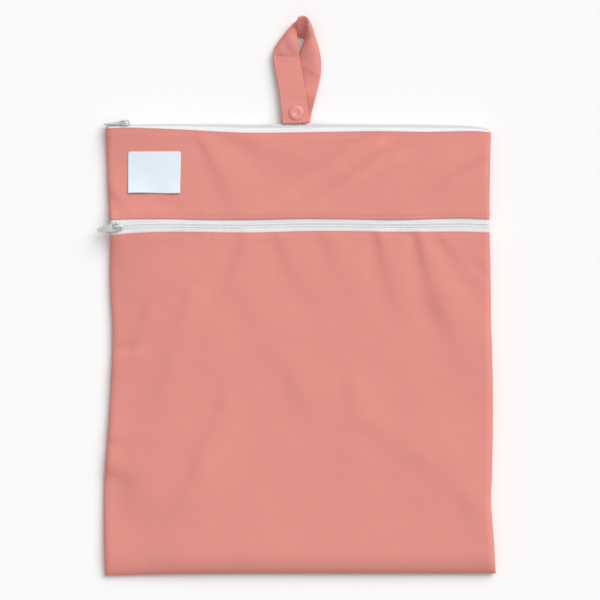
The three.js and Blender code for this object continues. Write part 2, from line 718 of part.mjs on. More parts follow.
add(bag, 'back_panel', backPanel(), cloth());
add(bag, 'lower_front_panel', lowerFrontPanel(), cloth());
add(bag, 'upper_front_panel', upperFrontPanel(), cloth());
add(bag, 'front_zip_upper_tape', frontTape('upper'), tapeCloth());
add(bag, 'front_zip_lower_tape', frontTape('lower'), tapeCloth());
add(bag, 'front_zip_coil', frontCoil(), tapeCloth());
add(bag, 'top_zip_front_tape', topFrontTape(), tapeCloth());
add(bag, 'top_zip_rear_tape', topRearTape(), tapeCloth());
add(bag, 'top_zip_coil', topCoil(), tapeCloth());
add(bag, 'hanging_strap', strap(), cloth());
add(bag, 'snap_front_half', snapFront(), material(0xe59a90, 0.3));
add(bag, 'snap_back_half', snapBack(), material(0xe59a90, 0.3));
add(bag, 'name_label', nameLabel(), material(0xeaf0f5, 0.5));

// A slider and its pull on a zip, from the zip's middle point, its way along and its face direction.
function addSlider(name, centre, alongZip, face, turn) {
  const across = face.clone().cross(alongZip).normalize();
  const seat = new THREE.Group();
  seat.position.copy(centre);
  seat.quaternion.setFromRotationMatrix(new THREE.Matrix4().makeBasis(alongZip, across, face));
  bag.add(seat);
  add(seat, `${name}_slider`, sliderBody(), metal());
  const hinge = new THREE.Group();
  hinge.position.z = pivotHeight;
  hinge.rotation.z = turn;
  seat.add(hinge);
  add(hinge, `${name}_pull`, pullTab(), metal()).rotation.y = -pullDroop;
}

const frontMiddle = zipColumns.map((column) => frontBand(column).centre);
const frontSliderX = edgeX('left', frontZipY) + sliderFromEdge;
const frontSlope = middleAt(frontMiddle, frontSliderX + sliderLength / 2)
  .sub(middleAt(frontMiddle, frontSliderX)).normalize();
addSlider('front', middleAt(frontMiddle, frontSliderX), frontSlope, new THREE.Vector3(0, 0, 1), frontPullTurn);

const topBands = zipColumns.map(mouthBand);
const topMiddle = topBands.map((band) => band.centre);
const topSliderX = edgeX('left', topY) + topSliderFromEdge;
const topSlope = middleAt(topMiddle, topSliderX + sliderLength / 2)
  .sub(middleAt(topMiddle, topSliderX - sliderLength / 2)).normalize();
const topAcross = middleAt(topBands.map((band) => band.rear), topSliderX)
  .sub(middleAt(topBands.map((band) => band.front), topSliderX)).normalize();
const topFace = topSlope.clone().cross(topAcross).normalize();
addSlider('top', middleAt(topMiddle, topSliderX), topSlope, topFace, 0);

export default bag;
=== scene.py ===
"""A flat zip bag of soft cloth, lying on its back.

Two cloth faces are sewn round a mouth zip, a second zip crosses the front face, and a hanging strap with a
snap stands at the top. The bag's own frame: +X right, +Y to the strap, +Z up. Shapes are worked out in
millimetres and turned into metres when a mesh is made.
"""
import logging
import math
from dataclasses import dataclass, field
from enum import Enum
from typing import Sequence

import bmesh
import bpy
import numpy as np
from mathutils import Matrix, Vector


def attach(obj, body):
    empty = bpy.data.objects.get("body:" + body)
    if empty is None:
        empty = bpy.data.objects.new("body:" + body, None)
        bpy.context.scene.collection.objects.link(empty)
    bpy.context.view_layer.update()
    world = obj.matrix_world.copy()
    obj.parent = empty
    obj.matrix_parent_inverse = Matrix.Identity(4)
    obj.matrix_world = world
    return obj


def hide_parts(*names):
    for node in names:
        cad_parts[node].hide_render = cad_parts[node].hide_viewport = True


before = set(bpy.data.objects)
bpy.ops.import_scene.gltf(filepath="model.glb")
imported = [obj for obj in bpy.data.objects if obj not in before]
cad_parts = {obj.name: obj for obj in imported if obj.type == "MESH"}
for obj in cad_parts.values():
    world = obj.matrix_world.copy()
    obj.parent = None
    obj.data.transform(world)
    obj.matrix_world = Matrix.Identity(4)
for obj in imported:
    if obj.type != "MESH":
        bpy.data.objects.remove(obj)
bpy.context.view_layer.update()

MM = 0.001
log = logging.getLogger("zip_bag")

Table = dict[str, np.ndarray]


class Body(Enum):
    """The parts that move on their own."""

    BAG = "bag"
    FRONT_PULL = "front_pull"
    TOP_PULL = "top_pull"


class Slot(Enum):
    """The finish slots of the record."""

    CLOTH = "bag_cloth"
    TAPE = "zip_tape"
    COIL = "zip_coil"
    SNAP = "snap_plastic"
    LABEL = "label_satin"
    METAL = "slider_metal"


class Side(Enum):
    """A side seam, by the sign of X."""

    LEFT = -1
    RIGHT = 1


class ZipEdge(Enum):
    """The cloth edge above or below the front zip, by the sign of Y."""

    UPPER = 1
    LOWER = -1


def table(columns: str, *rows: Sequence[float]) -> Table:
    """Turns rows of numbers into columns that carry the names in a line of words."""
    return dict(zip(columns.split(), np.array(rows, float).T))


# Side edges: up is a share of the height from the bottom, left and right are shares of half the width.
OUTLINE = table(
    "up left right",
    (0.000, 1.006, 1.016), (0.075, 1.011, 1.005), (0.165, 1.011, 0.990), (0.215, 1.009, 0.995),
    (0.330, 0.989, 1.000), (0.410, 0.978, 1.000), (0.505, 0.968, 0.995), (0.565, 0.969, 0.990),
    (0.630, 0.979, 0.989), (0.770, 0.982, 0.985), (0.850, 0.991, 0.984), (0.930, 0.998, 0.987),
    (1.000, 1.005, 0.992),
)

# Mouth edges: across is a share of the width, front and rear are drops below the top in zip openings.
MOUTH = table(
    "across front rear",
    (0.00, 0.36, 0.02), (0.05, 0.29, 0.01), (0.12, 0.35, -0.03), (0.22, 0.48, -0.06), (0.31, 0.63, -0.08),
    (0.39, 0.70, -0.05), (0.58, 0.63, -0.09), (0.70, 0.57, -0.04), (0.83, 0.62, -0.02), (0.93, 0.57, 0.08),
    (0.97, 0.58, 0.20), (1.00, 0.66, 0.48),
)

# Front zip edges: across is a share of the width, upper and lower are shares of the zip opening.
FRONT_ZIP = table(
    "across upper lower",
    (0.00, 0.40, 0.76), (0.05, 0.48, 0.60), (0.15, 0.50, 0.47), (0.24, 0.43, 0.49), (0.37, 0.42, 0.53),
    (0.49, 0.50, 0.44), (0.60, 0.49, 0.41), (0.75, 0.42, 0.47), (0.92, 0.54, 0.46), (1.00, 0.46, 0.52),
)

# Strap loop from its root up the rear leg, round the arch and down the front leg: low and high are the
# strip's two edges, x in strap widths, y in strap reaches, base the low edge's height in strap walls, and
# curl how far the strip bows up between them instead of standing straight.
STRAP = table(
    "low_x low_y high_x high_y base curl",
    (-0.45, -0.065, 0.55, -0.065, 1.50, 0.0), (-0.45, 0.010, 0.55, 0.010, 1.50, 0.0),
    (-0.37, 0.160, 0.630, 0.110, 1.40, 0.0), (-0.20, 0.305, 0.765, 0.255, 1.10, 0.0),
    (-0.08, 0.425, 0.885, 0.375, 0.90, 0.3), (0.00, 0.505, 0.950, 0.469, 1.20, 0.7),
    (0.095, 0.575, 0.965, 0.561, 1.80, 1.0), (0.163, 0.633, 0.940, 0.633, 2.40, 1.1),
    (0.258, 0.719, 0.855, 0.726, 3.20, 1.1), (0.325, 0.765, 0.742, 0.812, 3.20, 1.0),
    (0.361, 0.787, 0.575, 0.932, 1.80, 0.4), (0.300, 0.806, 0.450, 0.985, 0.90, 0.1),
    (0.180, 0.815, 0.317, 1.003, 0.60, 0.05), (0.075, 0.828, 0.142, 0.990, 0.60, 0.1),
    (0.00, 0.950, 0.060, 0.935, 0.55, 0.45), (-0.178, 0.909, 0.038, 0.891, 0.60, 0.70),
    (-0.413, 0.841, 0.060, 0.850, 0.90, 0.75), (-0.615, 0.777, 0.100, 0.775, 1.50, 0.65),
    (-0.774, 0.705, 0.135, 0.700, 2.70, 0.60), (-0.832, 0.640, 0.165, 0.632, 3.90, 0.5),
    (-0.810, 0.560, 0.230, 0.562, 4.10, 0.4), (-0.720, 0.450, 0.300, 0.440, 4.30, 0.3),
    (-0.600, 0.285, 0.400, 0.276, 4.60, 0.1), (-0.522, 0.125, 0.485, 0.125, 4.93, 0.0),
    (-0.483, -0.006, 0.513, 0.008, 4.93, 0.0),
)

# Soft dents of the strap: at and mid are where they lie along and across it, reach and wide how far they
# spread that way, slant how far they lean along it, and depth is in millimetres.
DENTS = (
    (0.735, 0.45, 0.030, 0.34, 12.0, 0.75), (0.93, 0.45, 0.012, 0.5, 0.0, 0.30),
    (0.80, 0.15, 0.030, 0.25, 8.0, 0.25), (0.22, 0.62, 0.012, 0.5, -4.0, 0.40),
    (0.105, 0.70, 0.007, 0.3, 1.0, 0.30), (0.125, 0.75, 0.006, 0.3, -2.0, 0.25),
    (0.31, 0.25, 0.030, 0.3, 6.0, 0.30),
)


def bell(offset: np.ndarray | float, reach: float) -> np.ndarray:
    """A soft hump, 1 at no offset and about a third at its reach."""
    return np.exp(-((np.asarray(offset, float) / reach) ** 2))


def mix(a: np.ndarray | float, b: np.ndarray | float, share: np.ndarray | float) -> np.ndarray:
    """The value at a share of the way from a to b."""
    return a + (b - a) * share


def along(rows: Table, key: str, column: str, at: np.ndarray | float) -> np.ndarray:
    """Reads one column of a table on a smooth curve between its rows.

    Args:
        rows: The table.
        key: The column that the place is given in.
        column: The column that is read.
        at: The places.

    Returns:
        The value at each place.
    """
    keys, values = rows[key], rows[column]
    last = len(keys) - 1
    ahead, behind = np.minimum(np.arange(last + 1) + 1, last), np.maximum(np.arange(last + 1) - 1, 0)
    slope = (values[ahead] - values[behind]) / (keys[ahead] - keys[behind])
    at = np.asarray(at, float)
    i = np.clip(np.searchsorted(keys, at, side="right") - 1, 0, last - 1)
    span = keys[i + 1] - keys[i]
    t = np.clip((at - keys[i]) / span, 0, 1)
    rise = t * t * (3 - 2 * t)
    bend = t * (1 - t) ** 2 * slope[i] - t * t * (1 - t) * slope[i + 1]
    return mix(values[i], values[i + 1], rise) + span * bend


@dataclass(frozen=True)
class Fold:
    """One soft fold of the front cloth: a crest with a hollow at its foot. Millimetres."""

    x0: float
    y0: float
    x1: float
    y1: float
    width: float
    height: float
    hollow: float
    bow: float
    steep: float = 1.2
    gentle: float = 2.6
    spread: tuple[float, float] = (0.8, 1.7)
    strength: float = 1.45

    def lift(self, x: np.ndarray, y: np.ndarray) -> np.ndarray:
        """How far the cloth rises: steeply on the lower left, gently away on the upper right.

        Args:
            x: Places across the bag.
            y: Places up the bag.

        Returns:
            The rise at each place, below zero in the hollow beside the fold.
        """
        way_x, way_y = self.x1 - self.x0, self.y1 - self.y0
        length = math.hypot(way_x, way_y)
        t = ((x - self.x0) * way_x + (y - self.y0) * way_y) / length**2
        inside = np.clip(t, 0, 1)
        right = 1 if way_y - 0.7 * way_x > 0 else -1
        across = right * ((x - self.x0) * way_y - (y - self.y0) * way_x) / length
        across = (across - 4 * self.bow * inside * (1 - inside)) / (self.width * mix(*self.spread, inside))
        beyond = np.maximum(np.maximum(-t, 0.6 * (t - 1)), 0) * length
        crest = np.where(across < 0, bell(across, self.steep), bell(across, self.gentle))
        hollow = self.hollow * bell(across + 2.2, 1.5)
        fading = (1 - 0.45 * inside**2) * bell(beyond, 2.2 * self.width)
        return self.strength * self.height * (crest - hollow) * fading


FOLDS = tuple(Fold(*row) for row in (
    # Upper front panel
    (-73.5, 160.4, -45.0, 106.7, 4.2, 0.62, 0.5, 1), (59.2, 160.4, -15.0, 108.2, 4.0, 1.20, 0.7, 2),
    (75.0, 149.3, 16.6, 106.7, 3.6, 0.95, 0.6, 1), (143.0, 154.1, 79.8, 111.4, 5.0, 1.15, 0.6, 2),
    (149.3, 150.9, 120.9, 116.1, 4.5, 0.85, 0.5, 1), (-45.0, 171.5, 22.0, 150.2, 8.0, 0.70, 0.6, -3),
    (-144.0, 122.9, -128.9, 106.7, 5.0, 0.80, 0.8, 0), (-6.2, 158.4, -36.1, 130.0, 9.0, 0.25, 0.3, 0),
    (-95.0, 118.0, -70.0, 108.0, 6.0, 0.30, 0.3, 0),
    # Gathers below the front zip
    (-15.0, 90.5, 4.0, 52.9, 4.2, 0.50, 0.5, -1), (22.9, 88.9, 45.0, 46.6, 5.0, 0.50, 0.5, -1),
    (64.0, 90.5, 79.8, 40.3, 4.0, 0.85, 0.6, -1), (95.6, 90.5, 118.1, 32.4, 4.6, 1.15, 0.6, -2),
    (116.9, 85.7, 147.6, 54.5, 4.8, 0.65, 0.5, -1), (83.0, 90.3, 79.8, 68.7, 3.0, 0.30, 0.4, 0),
    (0.8, 90.3, -10.3, 68.7, 3.4, 0.28, 0.4, 0), (-41.9, 88.1, -70.3, 3.2, 5.5, 0.90, 0.5, 3),
    (-65.0, 86.2, -101.9, 45.0, 6.0, 0.75, 0.4, 1), (-142.6, 88.5, -134.2, 52.8, 6.0, 0.95, 0.6, 0),
    (-118.0, 88.0, -127.0, 45.0, 7.0, 0.45, 0.4, 0),
    # Left half of the lower front panel
    (-120.1, 24.5, -131.9, -5.5, 5.0, 0.65, 0.5, -1), (-131.9, -5.5, -150.1, -19.0, 4.0, 1.00, 0.7, -1),
    (-86.1, 37.1, -101.1, -19.8, 5.5, 0.70, 0.5, -1), (-101.1, -19.8, -120.9, -64.0, 5.5, 0.60, 0.4, 0),
    (-59.2, -46.6, -78.2, -97.2, 5.4, 0.80, 0.6, -1), (-78.2, -97.2, -100.3, -144.6, 6.8, 1.05, 0.6, 0),
    (-147.7, -92.3, -104.4, -112.1, 11.0, 1.05, 0.5, 2), (-152.5, -68.7, -134.8, -65.6, 4.0, 0.60, 0.5, 0),
    (-151.0, -94.0, -136.0, -91.0, 4.5, 0.60, 0.5, 0),
    # Middle and right half of the lower front panel
    (-35.6, 34.0, -5.9, -28.2, 9.5, 0.60, 0.5, -1), (-2.5, -22.2, 35.6, -76.9, 8.5, 0.62, 0.5, -1),
    (43.5, -33.1, 45.8, -67.2, 6.0, 0.55, 0.5, 0), (58.8, -58.8, 98.8, -81.4, 8.0, 0.60, 0.4, 0),
    (98.8, -81.4, 149.3, -119.3, 12.0, 0.70, 0.4, 0), (112.1, 34.4, 143.8, -8.0, 7.5, 0.65, 0.4, -1),
    (150.1, 64.0, 143.0, 78.2, 3.6, 0.60, 0.4, 0), (135.1, -119.3, 149.3, -143.0, 8.0, 0.60, 0.4, 0),
    (-33.1, -115.3, -48.2, -160.2, 9.0, 0.35, 0.4, 0), (-128.0, -120.0, -138.0, -166.0, 10.0, 0.95, 0.3, 0),
    (20.0, 38.7, 32.5, -8.4, 10.0, 0.35, 0.4, 0), (-96.0, 60.0, -112.0, 20.0, 9.0, 0.35, 0.3, 0),
    (86.0, -100.0, 132.0, -150.0, 11.0, 0.45, 0.4, 0),
))


@dataclass(frozen=True)
class Columns:
    """Stations from one side seam to the other: the left roll, the middle and the right roll."""

    share: np.ndarray
    side: np.ndarray
    angle: np.ndarray

    @classmethod
    def spread(cls, middle: int, roll: int, lowest: float = 0.0) -> "Columns":
        """Spreads stations over the bag's width.

        Args:
            middle: How many stand on the flat middle.
            roll: How many stand on each rolled side.
            lowest: The first station's angle on a roll, in degrees.

        Returns:
            The stations.
        """
        bend = np.radians(mix(lowest, 90, (np.arange(roll) / roll) ** 0.8))
        flat = np.linspace(0, 1, middle)
        return cls(
            np.concatenate([np.zeros(roll), flat, np.ones(roll)]),
            np.concatenate([-np.ones(roll), np.zeros(middle), np.ones(roll)]),
            np.concatenate([bend, np.full(middle, math.pi / 2), bend[::-1]]),
        )


@dataclass(frozen=True)
class BagForm:
    """The bag's outer face as one surface that every sewn part follows. Millimetres."""

    width: float = 305
    height: float = 356
    wall: float = 1
    gap: float = 0.3
    seam: float = 3
    rise: float = 9.4
    mouth_rise: float = 8.6
    side_roll: float = 5.5
    zip_roll: float = 2.5
    mouth_roll: float = 5
    bottom_roll: float = 18
    corner_drop: float = 1.6
    swell: float = 0.24
    bottom_swell: float = 0.03
    left_slope: tuple[float, float] = (4.6, 42)
    right_slope: tuple[float, float] = (0.4, 26)
    roll_reach: tuple[float, float] = (24, 30)
    pressed_reach: tuple[float, float] = (6.5, 7)
    level_reach: tuple[float, float] = (17, 22)
    mouth_reach: float = 45
    zip_drop: float = 80.4
    opening: float = 10.3
    tape_wall: float = 0.7
    waves: tuple[tuple[float, float, float, float], ...] = field(default_factory=lambda: BagForm.wave_set())

    @staticmethod
    def wave_set() -> tuple[tuple[float, float, float, float], ...]:
        """Seeded low waves of slack cloth.

        Returns:
            Two wave numbers, a phase and a height for each wave.
        """
        rng = np.random.default_rng(7)
        waves = []
        for length, height, count in ((95, 0.10, 5), (48, 0.045, 7), (22, 0.016, 10), (11, 0.006, 10)):
            for _ in range(count):
                turn = rng.uniform(0, math.pi)
                number = 2 * math.pi / (length * rng.uniform(0.75, 1.35))
                waves.append((number * math.cos(turn), number * math.sin(turn),
                              rng.uniform(0, 2 * math.pi), height))
        return tuple(waves)

    @property
    def half(self) -> float:
        """Half the bag's width."""
        return self.width / 2

    @property
    def bottom(self) -> float:
        """Y of the bottom seam."""
        return -self.height / 2

    @property
    def top(self) -> float:
        """Y of the mouth."""
        return self.height / 2

    @property
    def zip_y(self) -> float:
        """Y of the front zip."""
        return self.top - self.zip_drop

    @property
    def tape_depth(self) -> float:
        """Depth of the zip tape's middle below the cloth's face."""
        return self.wall + self.gap + self.tape_wall / 2

    def edge(self, side: Side, y: np.ndarray | float) -> np.ndarray:
        """X of a side seam at each Y."""
        up = (np.asarray(y, float) - self.bottom) / self.height
        return side.value * self.half * along(OUTLINE, "up", side.name.lower(), up)

    def share_across(self, x: np.ndarray, y: float) -> np.ndarray:
        """How far X lies from the left seam to the right one, at one Y."""
        left = self.edge(Side.LEFT, y)
        return (x - left) / (self.edge(Side.RIGHT, y) - left)

    def roll(self, y: np.ndarray | float) -> np.ndarray:
        """Reach of the side roll at each Y."""
        zip_reach, mouth_reach = self.roll_reach
        return (self.side_roll - (self.side_roll - self.zip_roll) * bell(y - self.zip_y, zip_reach)
                - (self.side_roll - self.mouth_roll) * bell(y - self.top, mouth_reach))

    def away(self, y: np.ndarray, zip_reach: float, mouth_reach: float) -> np.ndarray:
        """A share that is 0 on the front zip and at the mouth and 1 well away from both."""
        return (1 - bell(y - self.zip_y, zip_reach)) * (1 - bell(y - self.top, mouth_reach))

    def zip_edge(self, which: ZipEdge, x: np.ndarray) -> np.ndarray:
        """Y of the cloth edge beside the front zip."""
        share = along(FRONT_ZIP, "across", which.name.lower(), self.share_across(x, self.zip_y))
        return self.zip_y + which.value * share * self.opening

    def mouth(self, which: str, x: np.ndarray) -> np.ndarray:
        """Y of the front or rear edge of the mouth."""
        return self.top - along(MOUTH, "across", which, self.share_across(x, self.top)) * self.opening

    def bottom_at(self, x: np.ndarray) -> np.ndarray:
        """Y of the bottom seam, a little lower at the left corner."""
        return self.bottom - self.corner_drop * np.maximum(-x / self.half, 0) ** 3

    def rise_at(self, x: np.ndarray, y: np.ndarray) -> np.ndarray:
        """Height of the front cloth above the side seam.

        Args:
            x: Places across the bag.
            y: Places up the bag.

        Returns:
            The height at each place, folds and slack waves in it.
        """
        slack = sum(h * np.sin(a * x + b * y + p) for a, b, p, h in self.waves)
        folds = sum(fold.lift(x, y) for fold in FOLDS)
        (left, left_reach), (right, right_reach) = self.left_slope, self.right_slope
        sides = left * bell(x + self.half, left_reach) + right * bell(x - self.half, right_reach)
        level = mix(self.rise, self.mouth_rise, bell(y - self.top, self.mouth_reach))
        return (level - sides * self.away(y, *self.level_reach)
                + (slack + folds) * self.away(y, *self.pressed_reach))

    def skin(self, cols: Columns, y: np.ndarray, depth: np.ndarray | float = 0.0,
             foot: np.ndarray | None = None) -> np.ndarray:
        """Points of the front cloth, or of anything that follows it.

        Args:
            cols: The stations across.
            y: Y of each point, rows first, or one column of rows.
            depth: How deep below the outer face.
            foot: For rows on the bottom roll, their angle from the seam.

        Returns:
            An array of rows by columns by three.
        """
        roll = self.roll(y)
        left = self.edge(Side.LEFT, y) + roll
        right = self.edge(Side.RIGHT, y) - roll
        swell = self.swell * roll * np.sin(2 * cols.angle)
        x = mix(left, right, cols.share) + cols.side * ((roll - depth) * np.cos(cols.angle) + swell)
        lift = np.sin(cols.angle) * np.ones_like(x)
        y = y * np.ones_like(x)
        if foot is not None:
            swell = self.bottom_swell * self.bottom_roll * np.sin(2 * foot)
            y = self.bottom_at(x) + self.bottom_roll - (self.bottom_roll - depth) * np.cos(foot) - swell
            lift = lift * np.sin(foot)
        return np.stack([x, y, self.seam + (self.rise_at(x, y) - depth) * lift], axis=-1)

    def column_x(self, cols: Columns, y: float) -> np.ndarray:
        """X of each station at one Y."""
        return self.skin(cols, np.array([[y]]))[0, :, 0]


def same_way(way: Sequence[float], count: int) -> np.ndarray:
    """One direction, repeated for each of a path's points."""
    return np.tile(np.array(way, float), (count, 1))


def shown(obj: bpy.types.Object) -> bpy.types.Object:
    """Links an object into the scene and hands it back."""
    bpy.context.scene.collection.objects.link(obj)
    return obj


def mesh_object(name: str, points: np.ndarray, faces: list[tuple[int, ...]],
                uv: np.ndarray | None = None) -> bpy.types.Object:
    """Makes a smooth mesh from points in millimetres.

    Args:
        name: The piece's name.
        points: The points, in millimetres.
        faces: Point numbers of each face, outward.
        uv: A place on the cloth for each point, in millimetres.

    Returns:
        The linked object.
    """
    mesh = bpy.data.meshes.new(name)
    mesh.from_pydata((points * MM).tolist(), [], faces)
    if uv is not None:
        corners = np.empty(len(mesh.loops), np.int32)
        mesh.loops.foreach_get("vertex_index", corners)
        layer = mesh.uv_layers.new(name="cloth")
        layer.data.foreach_set("uv", (uv[corners] * MM).ravel())
    mesh.shade_smooth()
    mesh.update()
    return shown(bpy.data.objects.new(name, mesh))


def cloth_lengths(grid: np.ndarray) -> np.ndarray:
    """Lays a grid of points out flat.

    Args:
        grid: Rows by columns of points, in millimetres.

    Returns:
        Rows by columns of flat places, measured along the cloth from its middle.
    """
    across = np.linalg.norm(np.diff(grid, axis=1), axis=2)
    up = np.linalg.norm(np.diff(grid, axis=0), axis=2)
    u = np.concatenate([np.zeros((len(grid), 1)), np.cumsum(across, axis=1)], axis=1)
    v = np.concatenate([np.zeros((1, grid.shape[1])), np.cumsum(up, axis=0)], axis=0)
    return np.stack([u - u[:, [u.shape[1] // 2]], v], axis=-1)


def cloth_object(name: str, outer: np.ndarray, inner: np.ndarray) -> bpy.types.Object:
    """Closes two grids of points into one sheet with a wall.

    Args:
        name: The piece's name.
        outer: Rows by columns of points on the face whose normal is across times up.
        inner: The same on the other face.

    Returns:
        The sheet, with its flat places as a UV map.
    """
    rows, count = outer.shape[:2]
    number = np.arange(rows * count).reshape(rows, count)
    a, b, c, d = number[:-1, :-1], number[:-1, 1:], number[1:, 1:], number[1:, :-1]
    under = rows * count
    quads = [np.stack([a, b, c, d], -1).reshape(-1, 4), under + np.stack([a, d, c, b], -1).reshape(-1, 4)]
    for line in (number[0, ::-1], number[:, 0], number[-1], number[::-1, -1]):
        quads.append(np.stack([line[:-1], line[1:], under + line[1:], under + line[:-1]], -1))
    flat = cloth_lengths(outer).reshape(-1, 2)
    points = np.concatenate([outer.reshape(-1, 3), inner.reshape(-1, 3)])
    return mesh_object(name, points, np.concatenate(quads).tolist(), np.concatenate([flat, flat]))


def rounded_rim(thick: float, distance: np.ndarray | float) -> np.ndarray:
    """How far a wall's face falls back beside its edge, so that the rim is round.

    Args:
        thick: The wall.
        distance: How far each point lies from the edge.

    Returns:
        The fall at each point, at most 0.42 of the wall.
    """
    reach = 0.6 * thick
    inside = np.clip(1 - np.asarray(distance, float) / reach, 0, 1)
    return 0.42 * thick * (1 - np.sqrt(1 - inside**2))


@dataclass(frozen=True)
class Finish:
    """A surface finish, made once as a material and then shared."""

    name: str
    colour: tuple[float, float, float]
    roughness: float

    def material(self) -> bpy.types.Material:
        """The finish's material, made at its first use."""
        found = bpy.data.materials.get(self.name)
        return found or self.make()

    def make(self) -> bpy.types.Material:
        """Makes the material: a principled surface that the subclass dresses.

        Returns:
            The material.
        """
        made = bpy.data.materials.new(self.name)
        made.use_nodes = True
        dresser = Dresser(made.node_tree, self)
        dresser.surface.inputs["Base Color"].default_value = (*self.colour, 1)
        dresser.surface.inputs["Roughness"].default_value = self.roughness
        self.dress(dresser)
        return made

    def dress(self, dresser: "Dresser") -> None:
        """Adds colour, grain and relief. A subclass says which."""

    def wear(self, obj: bpy.types.Object) -> None:
        """Puts the finish on an object as its only material."""
        obj.data.materials.clear()
        obj.data.materials.append(self.material())


class NodeMaker:
    """Short hand for adding nodes to one tree."""

    def __init__(self, tree: bpy.types.NodeTree) -> None:
        """Keeps the tree."""
        self.tree = tree

    def node(self, kind: str, values: dict[str | int, object] | None = None,
             **settings: object) -> bpy.types.Node:
        """Adds a node.

        Args:
            kind: The node's type.
            values: A value or a socket to link, for each input.
            settings: The node's own settings.

        Returns:
            The node.
        """
        made = self.tree.nodes.new(kind)
        for key, value in settings.items():
            setattr(made, key, value)
        for key, value in (values or {}).items():
            if isinstance(value, bpy.types.NodeSocket):
                self.tree.links.new(value, made.inputs[key])
            else:
                made.inputs[key].default_value = value
        return made


class Dresser(NodeMaker):
    """Short hand for the nodes of one material."""

    def __init__(self, tree: bpy.types.NodeTree, finish: Finish) -> None:
        """Keeps the tree, its principled surface and the finish that it serves.

        Args:
            tree: The material's node tree.
            finish: The finish whose colour and roughness the layers vary.
        """
        super().__init__(tree)
        self.finish = finish
        self.surface = next(n for n in tree.nodes if n.type == "BSDF_PRINCIPLED")
        self.relief: bpy.types.NodeSocket | None = None

    def set(self, **values: float) -> None:
        """Sets constants on the surface's own sockets, each named with low lines for blanks."""
        for name, value in values.items():
            self.surface.inputs[name.replace("_", " ")].default_value = value

    def place(self) -> bpy.types.NodeSocket:
        """The point's place on the object, in metres."""
        return self.node("ShaderNodeTexCoord").outputs["Object"]

    def flat(self) -> bpy.types.NodeSocket:
        """The point's place on the flat cloth, in metres."""
        return self.node("ShaderNodeUVMap", uv_map="cloth").outputs["UV"]

    def noise(self, where: bpy.types.NodeSocket, size: float, detail: float = 2.0,
              stretch: tuple[float, float, float] = (1, 1, 1)) -> bpy.types.NodeSocket:
        """Soft random spots from 0 to 1, of a size in metres, denser along the axes with a higher stretch."""
        mapped = self.node("ShaderNodeMapping", {"Vector": where, "Scale": stretch}).outputs[0]
        return self.node("ShaderNodeTexNoise", {"Vector": mapped, "Scale": 1 / size, "Detail": detail,
                                                "Roughness": 0.55}).outputs["Fac"]

    def math(self, operation: str, a: object, b: object = 0.0) -> bpy.types.NodeSocket:
        """One sum on two values."""
        return self.node("ShaderNodeMath", {0: a, 1: b}, operation=operation).outputs[0]

    def ribs(self, where: bpy.types.NodeSocket, axis: str, pitch: float) -> bpy.types.NodeSocket:
        """Even ribs from -1 to 1 across one axis, a pitch apart, in metres."""
        split = self.node("ShaderNodeSeparateXYZ", {0: where}).outputs[axis]
        return self.math("SINE", self.math("MULTIPLY", split, 2 * math.pi / pitch))

    def tone(self, factor: bpy.types.NodeSocket, low: float, high: float) -> None:
        """Colours the surface between two shares of the finish's own colour.

        Args:
            factor: What decides between them, from 0 to 1.
            low: The share where the factor is low.
            high: The share where it is high.
        """
        ramp = self.node("ShaderNodeValToRGB", {0: factor})
        for stop, at, share in zip(ramp.color_ramp.elements, (0.3, 0.7), (low, high)):
            stop.position = at
            stop.color = (*(min(1.0, c * share) for c in self.finish.colour), 1)
        self.tree.links.new(ramp.outputs[0], self.surface.inputs["Base Color"])

    def bump(self, height: bpy.types.NodeSocket, distance: float, strength: float = 1.0) -> None:
        """Adds a layer of relief over the layers before it.

        Args:
            height: The relief's height, from 0 to 1.
            distance: What a height of 1 stands for, in metres.
            strength: How much of it shows.
        """
        layer = self.node("ShaderNodeBump", {"Height": height, "Distance": distance, "Strength": strength})
        if self.relief:
            self.tree.links.new(self.relief, layer.inputs["Normal"])
        self.relief = layer.outputs[0]
        self.tree.links.new(self.relief, self.surface.inputs["Normal"])

    def rough(self, factor: bpy.types.NodeSocket, below: float, above: float) -> None:
        """Varies the roughness with a factor, from below the finish's own to above it."""
        spread = self.node("ShaderNodeMapRange", {"Value": factor, "To Min": self.finish.roughness - below,
                                                  "To Max": self.finish.roughness + above})
        self.tree.links.new(spread.outputs[0], self.surface.inputs["Roughness"])


@dataclass(frozen=True)
class KnitCloth(Finish):
    """Soft laminated knit: fine wales and courses, faint mottling and a little sheen."""

    wale: float = 0.0009
    course: float = 0.0007
    sheen: float = 0.02
    specular: float = 0.18

    def dress(self, dresser: Dresser) -> None:
        """Dresses the cloth with its knit, mottling and fine crinkle.

        Args:
            dresser: The material's short hand.
        """
        flat, place = dresser.flat(), dresser.place()
        tone = dresser.noise(place, 0.022, 3)
        grain = dresser.noise(flat, 0.0011, 2, (1, 0.6, 1))
        both = dresser.math("ADD", dresser.math("MULTIPLY", tone, 0.6), dresser.math("MULTIPLY", grain, 0.4))
        dresser.tone(both, 0.985, 1.012)
        wales, courses = dresser.ribs(flat, "X", self.wale), dresser.ribs(flat, "Y", self.course)
        knit = dresser.math("MULTIPLY", wales, courses)
        dresser.bump(dresser.noise(place, 0.008, 2), 0.00020, 0.5)
        dresser.bump(dresser.math("MULTIPLY_ADD", knit, 0.5), 0.00006, 0.35)
        dresser.bump(grain, 0.00008, 0.4)
        dresser.rough(grain, 0.06, 0.06)
        dresser.set(Sheen_Weight=self.sheen, Sheen_Roughness=0.5, Specular_IOR_Level=self.specular)


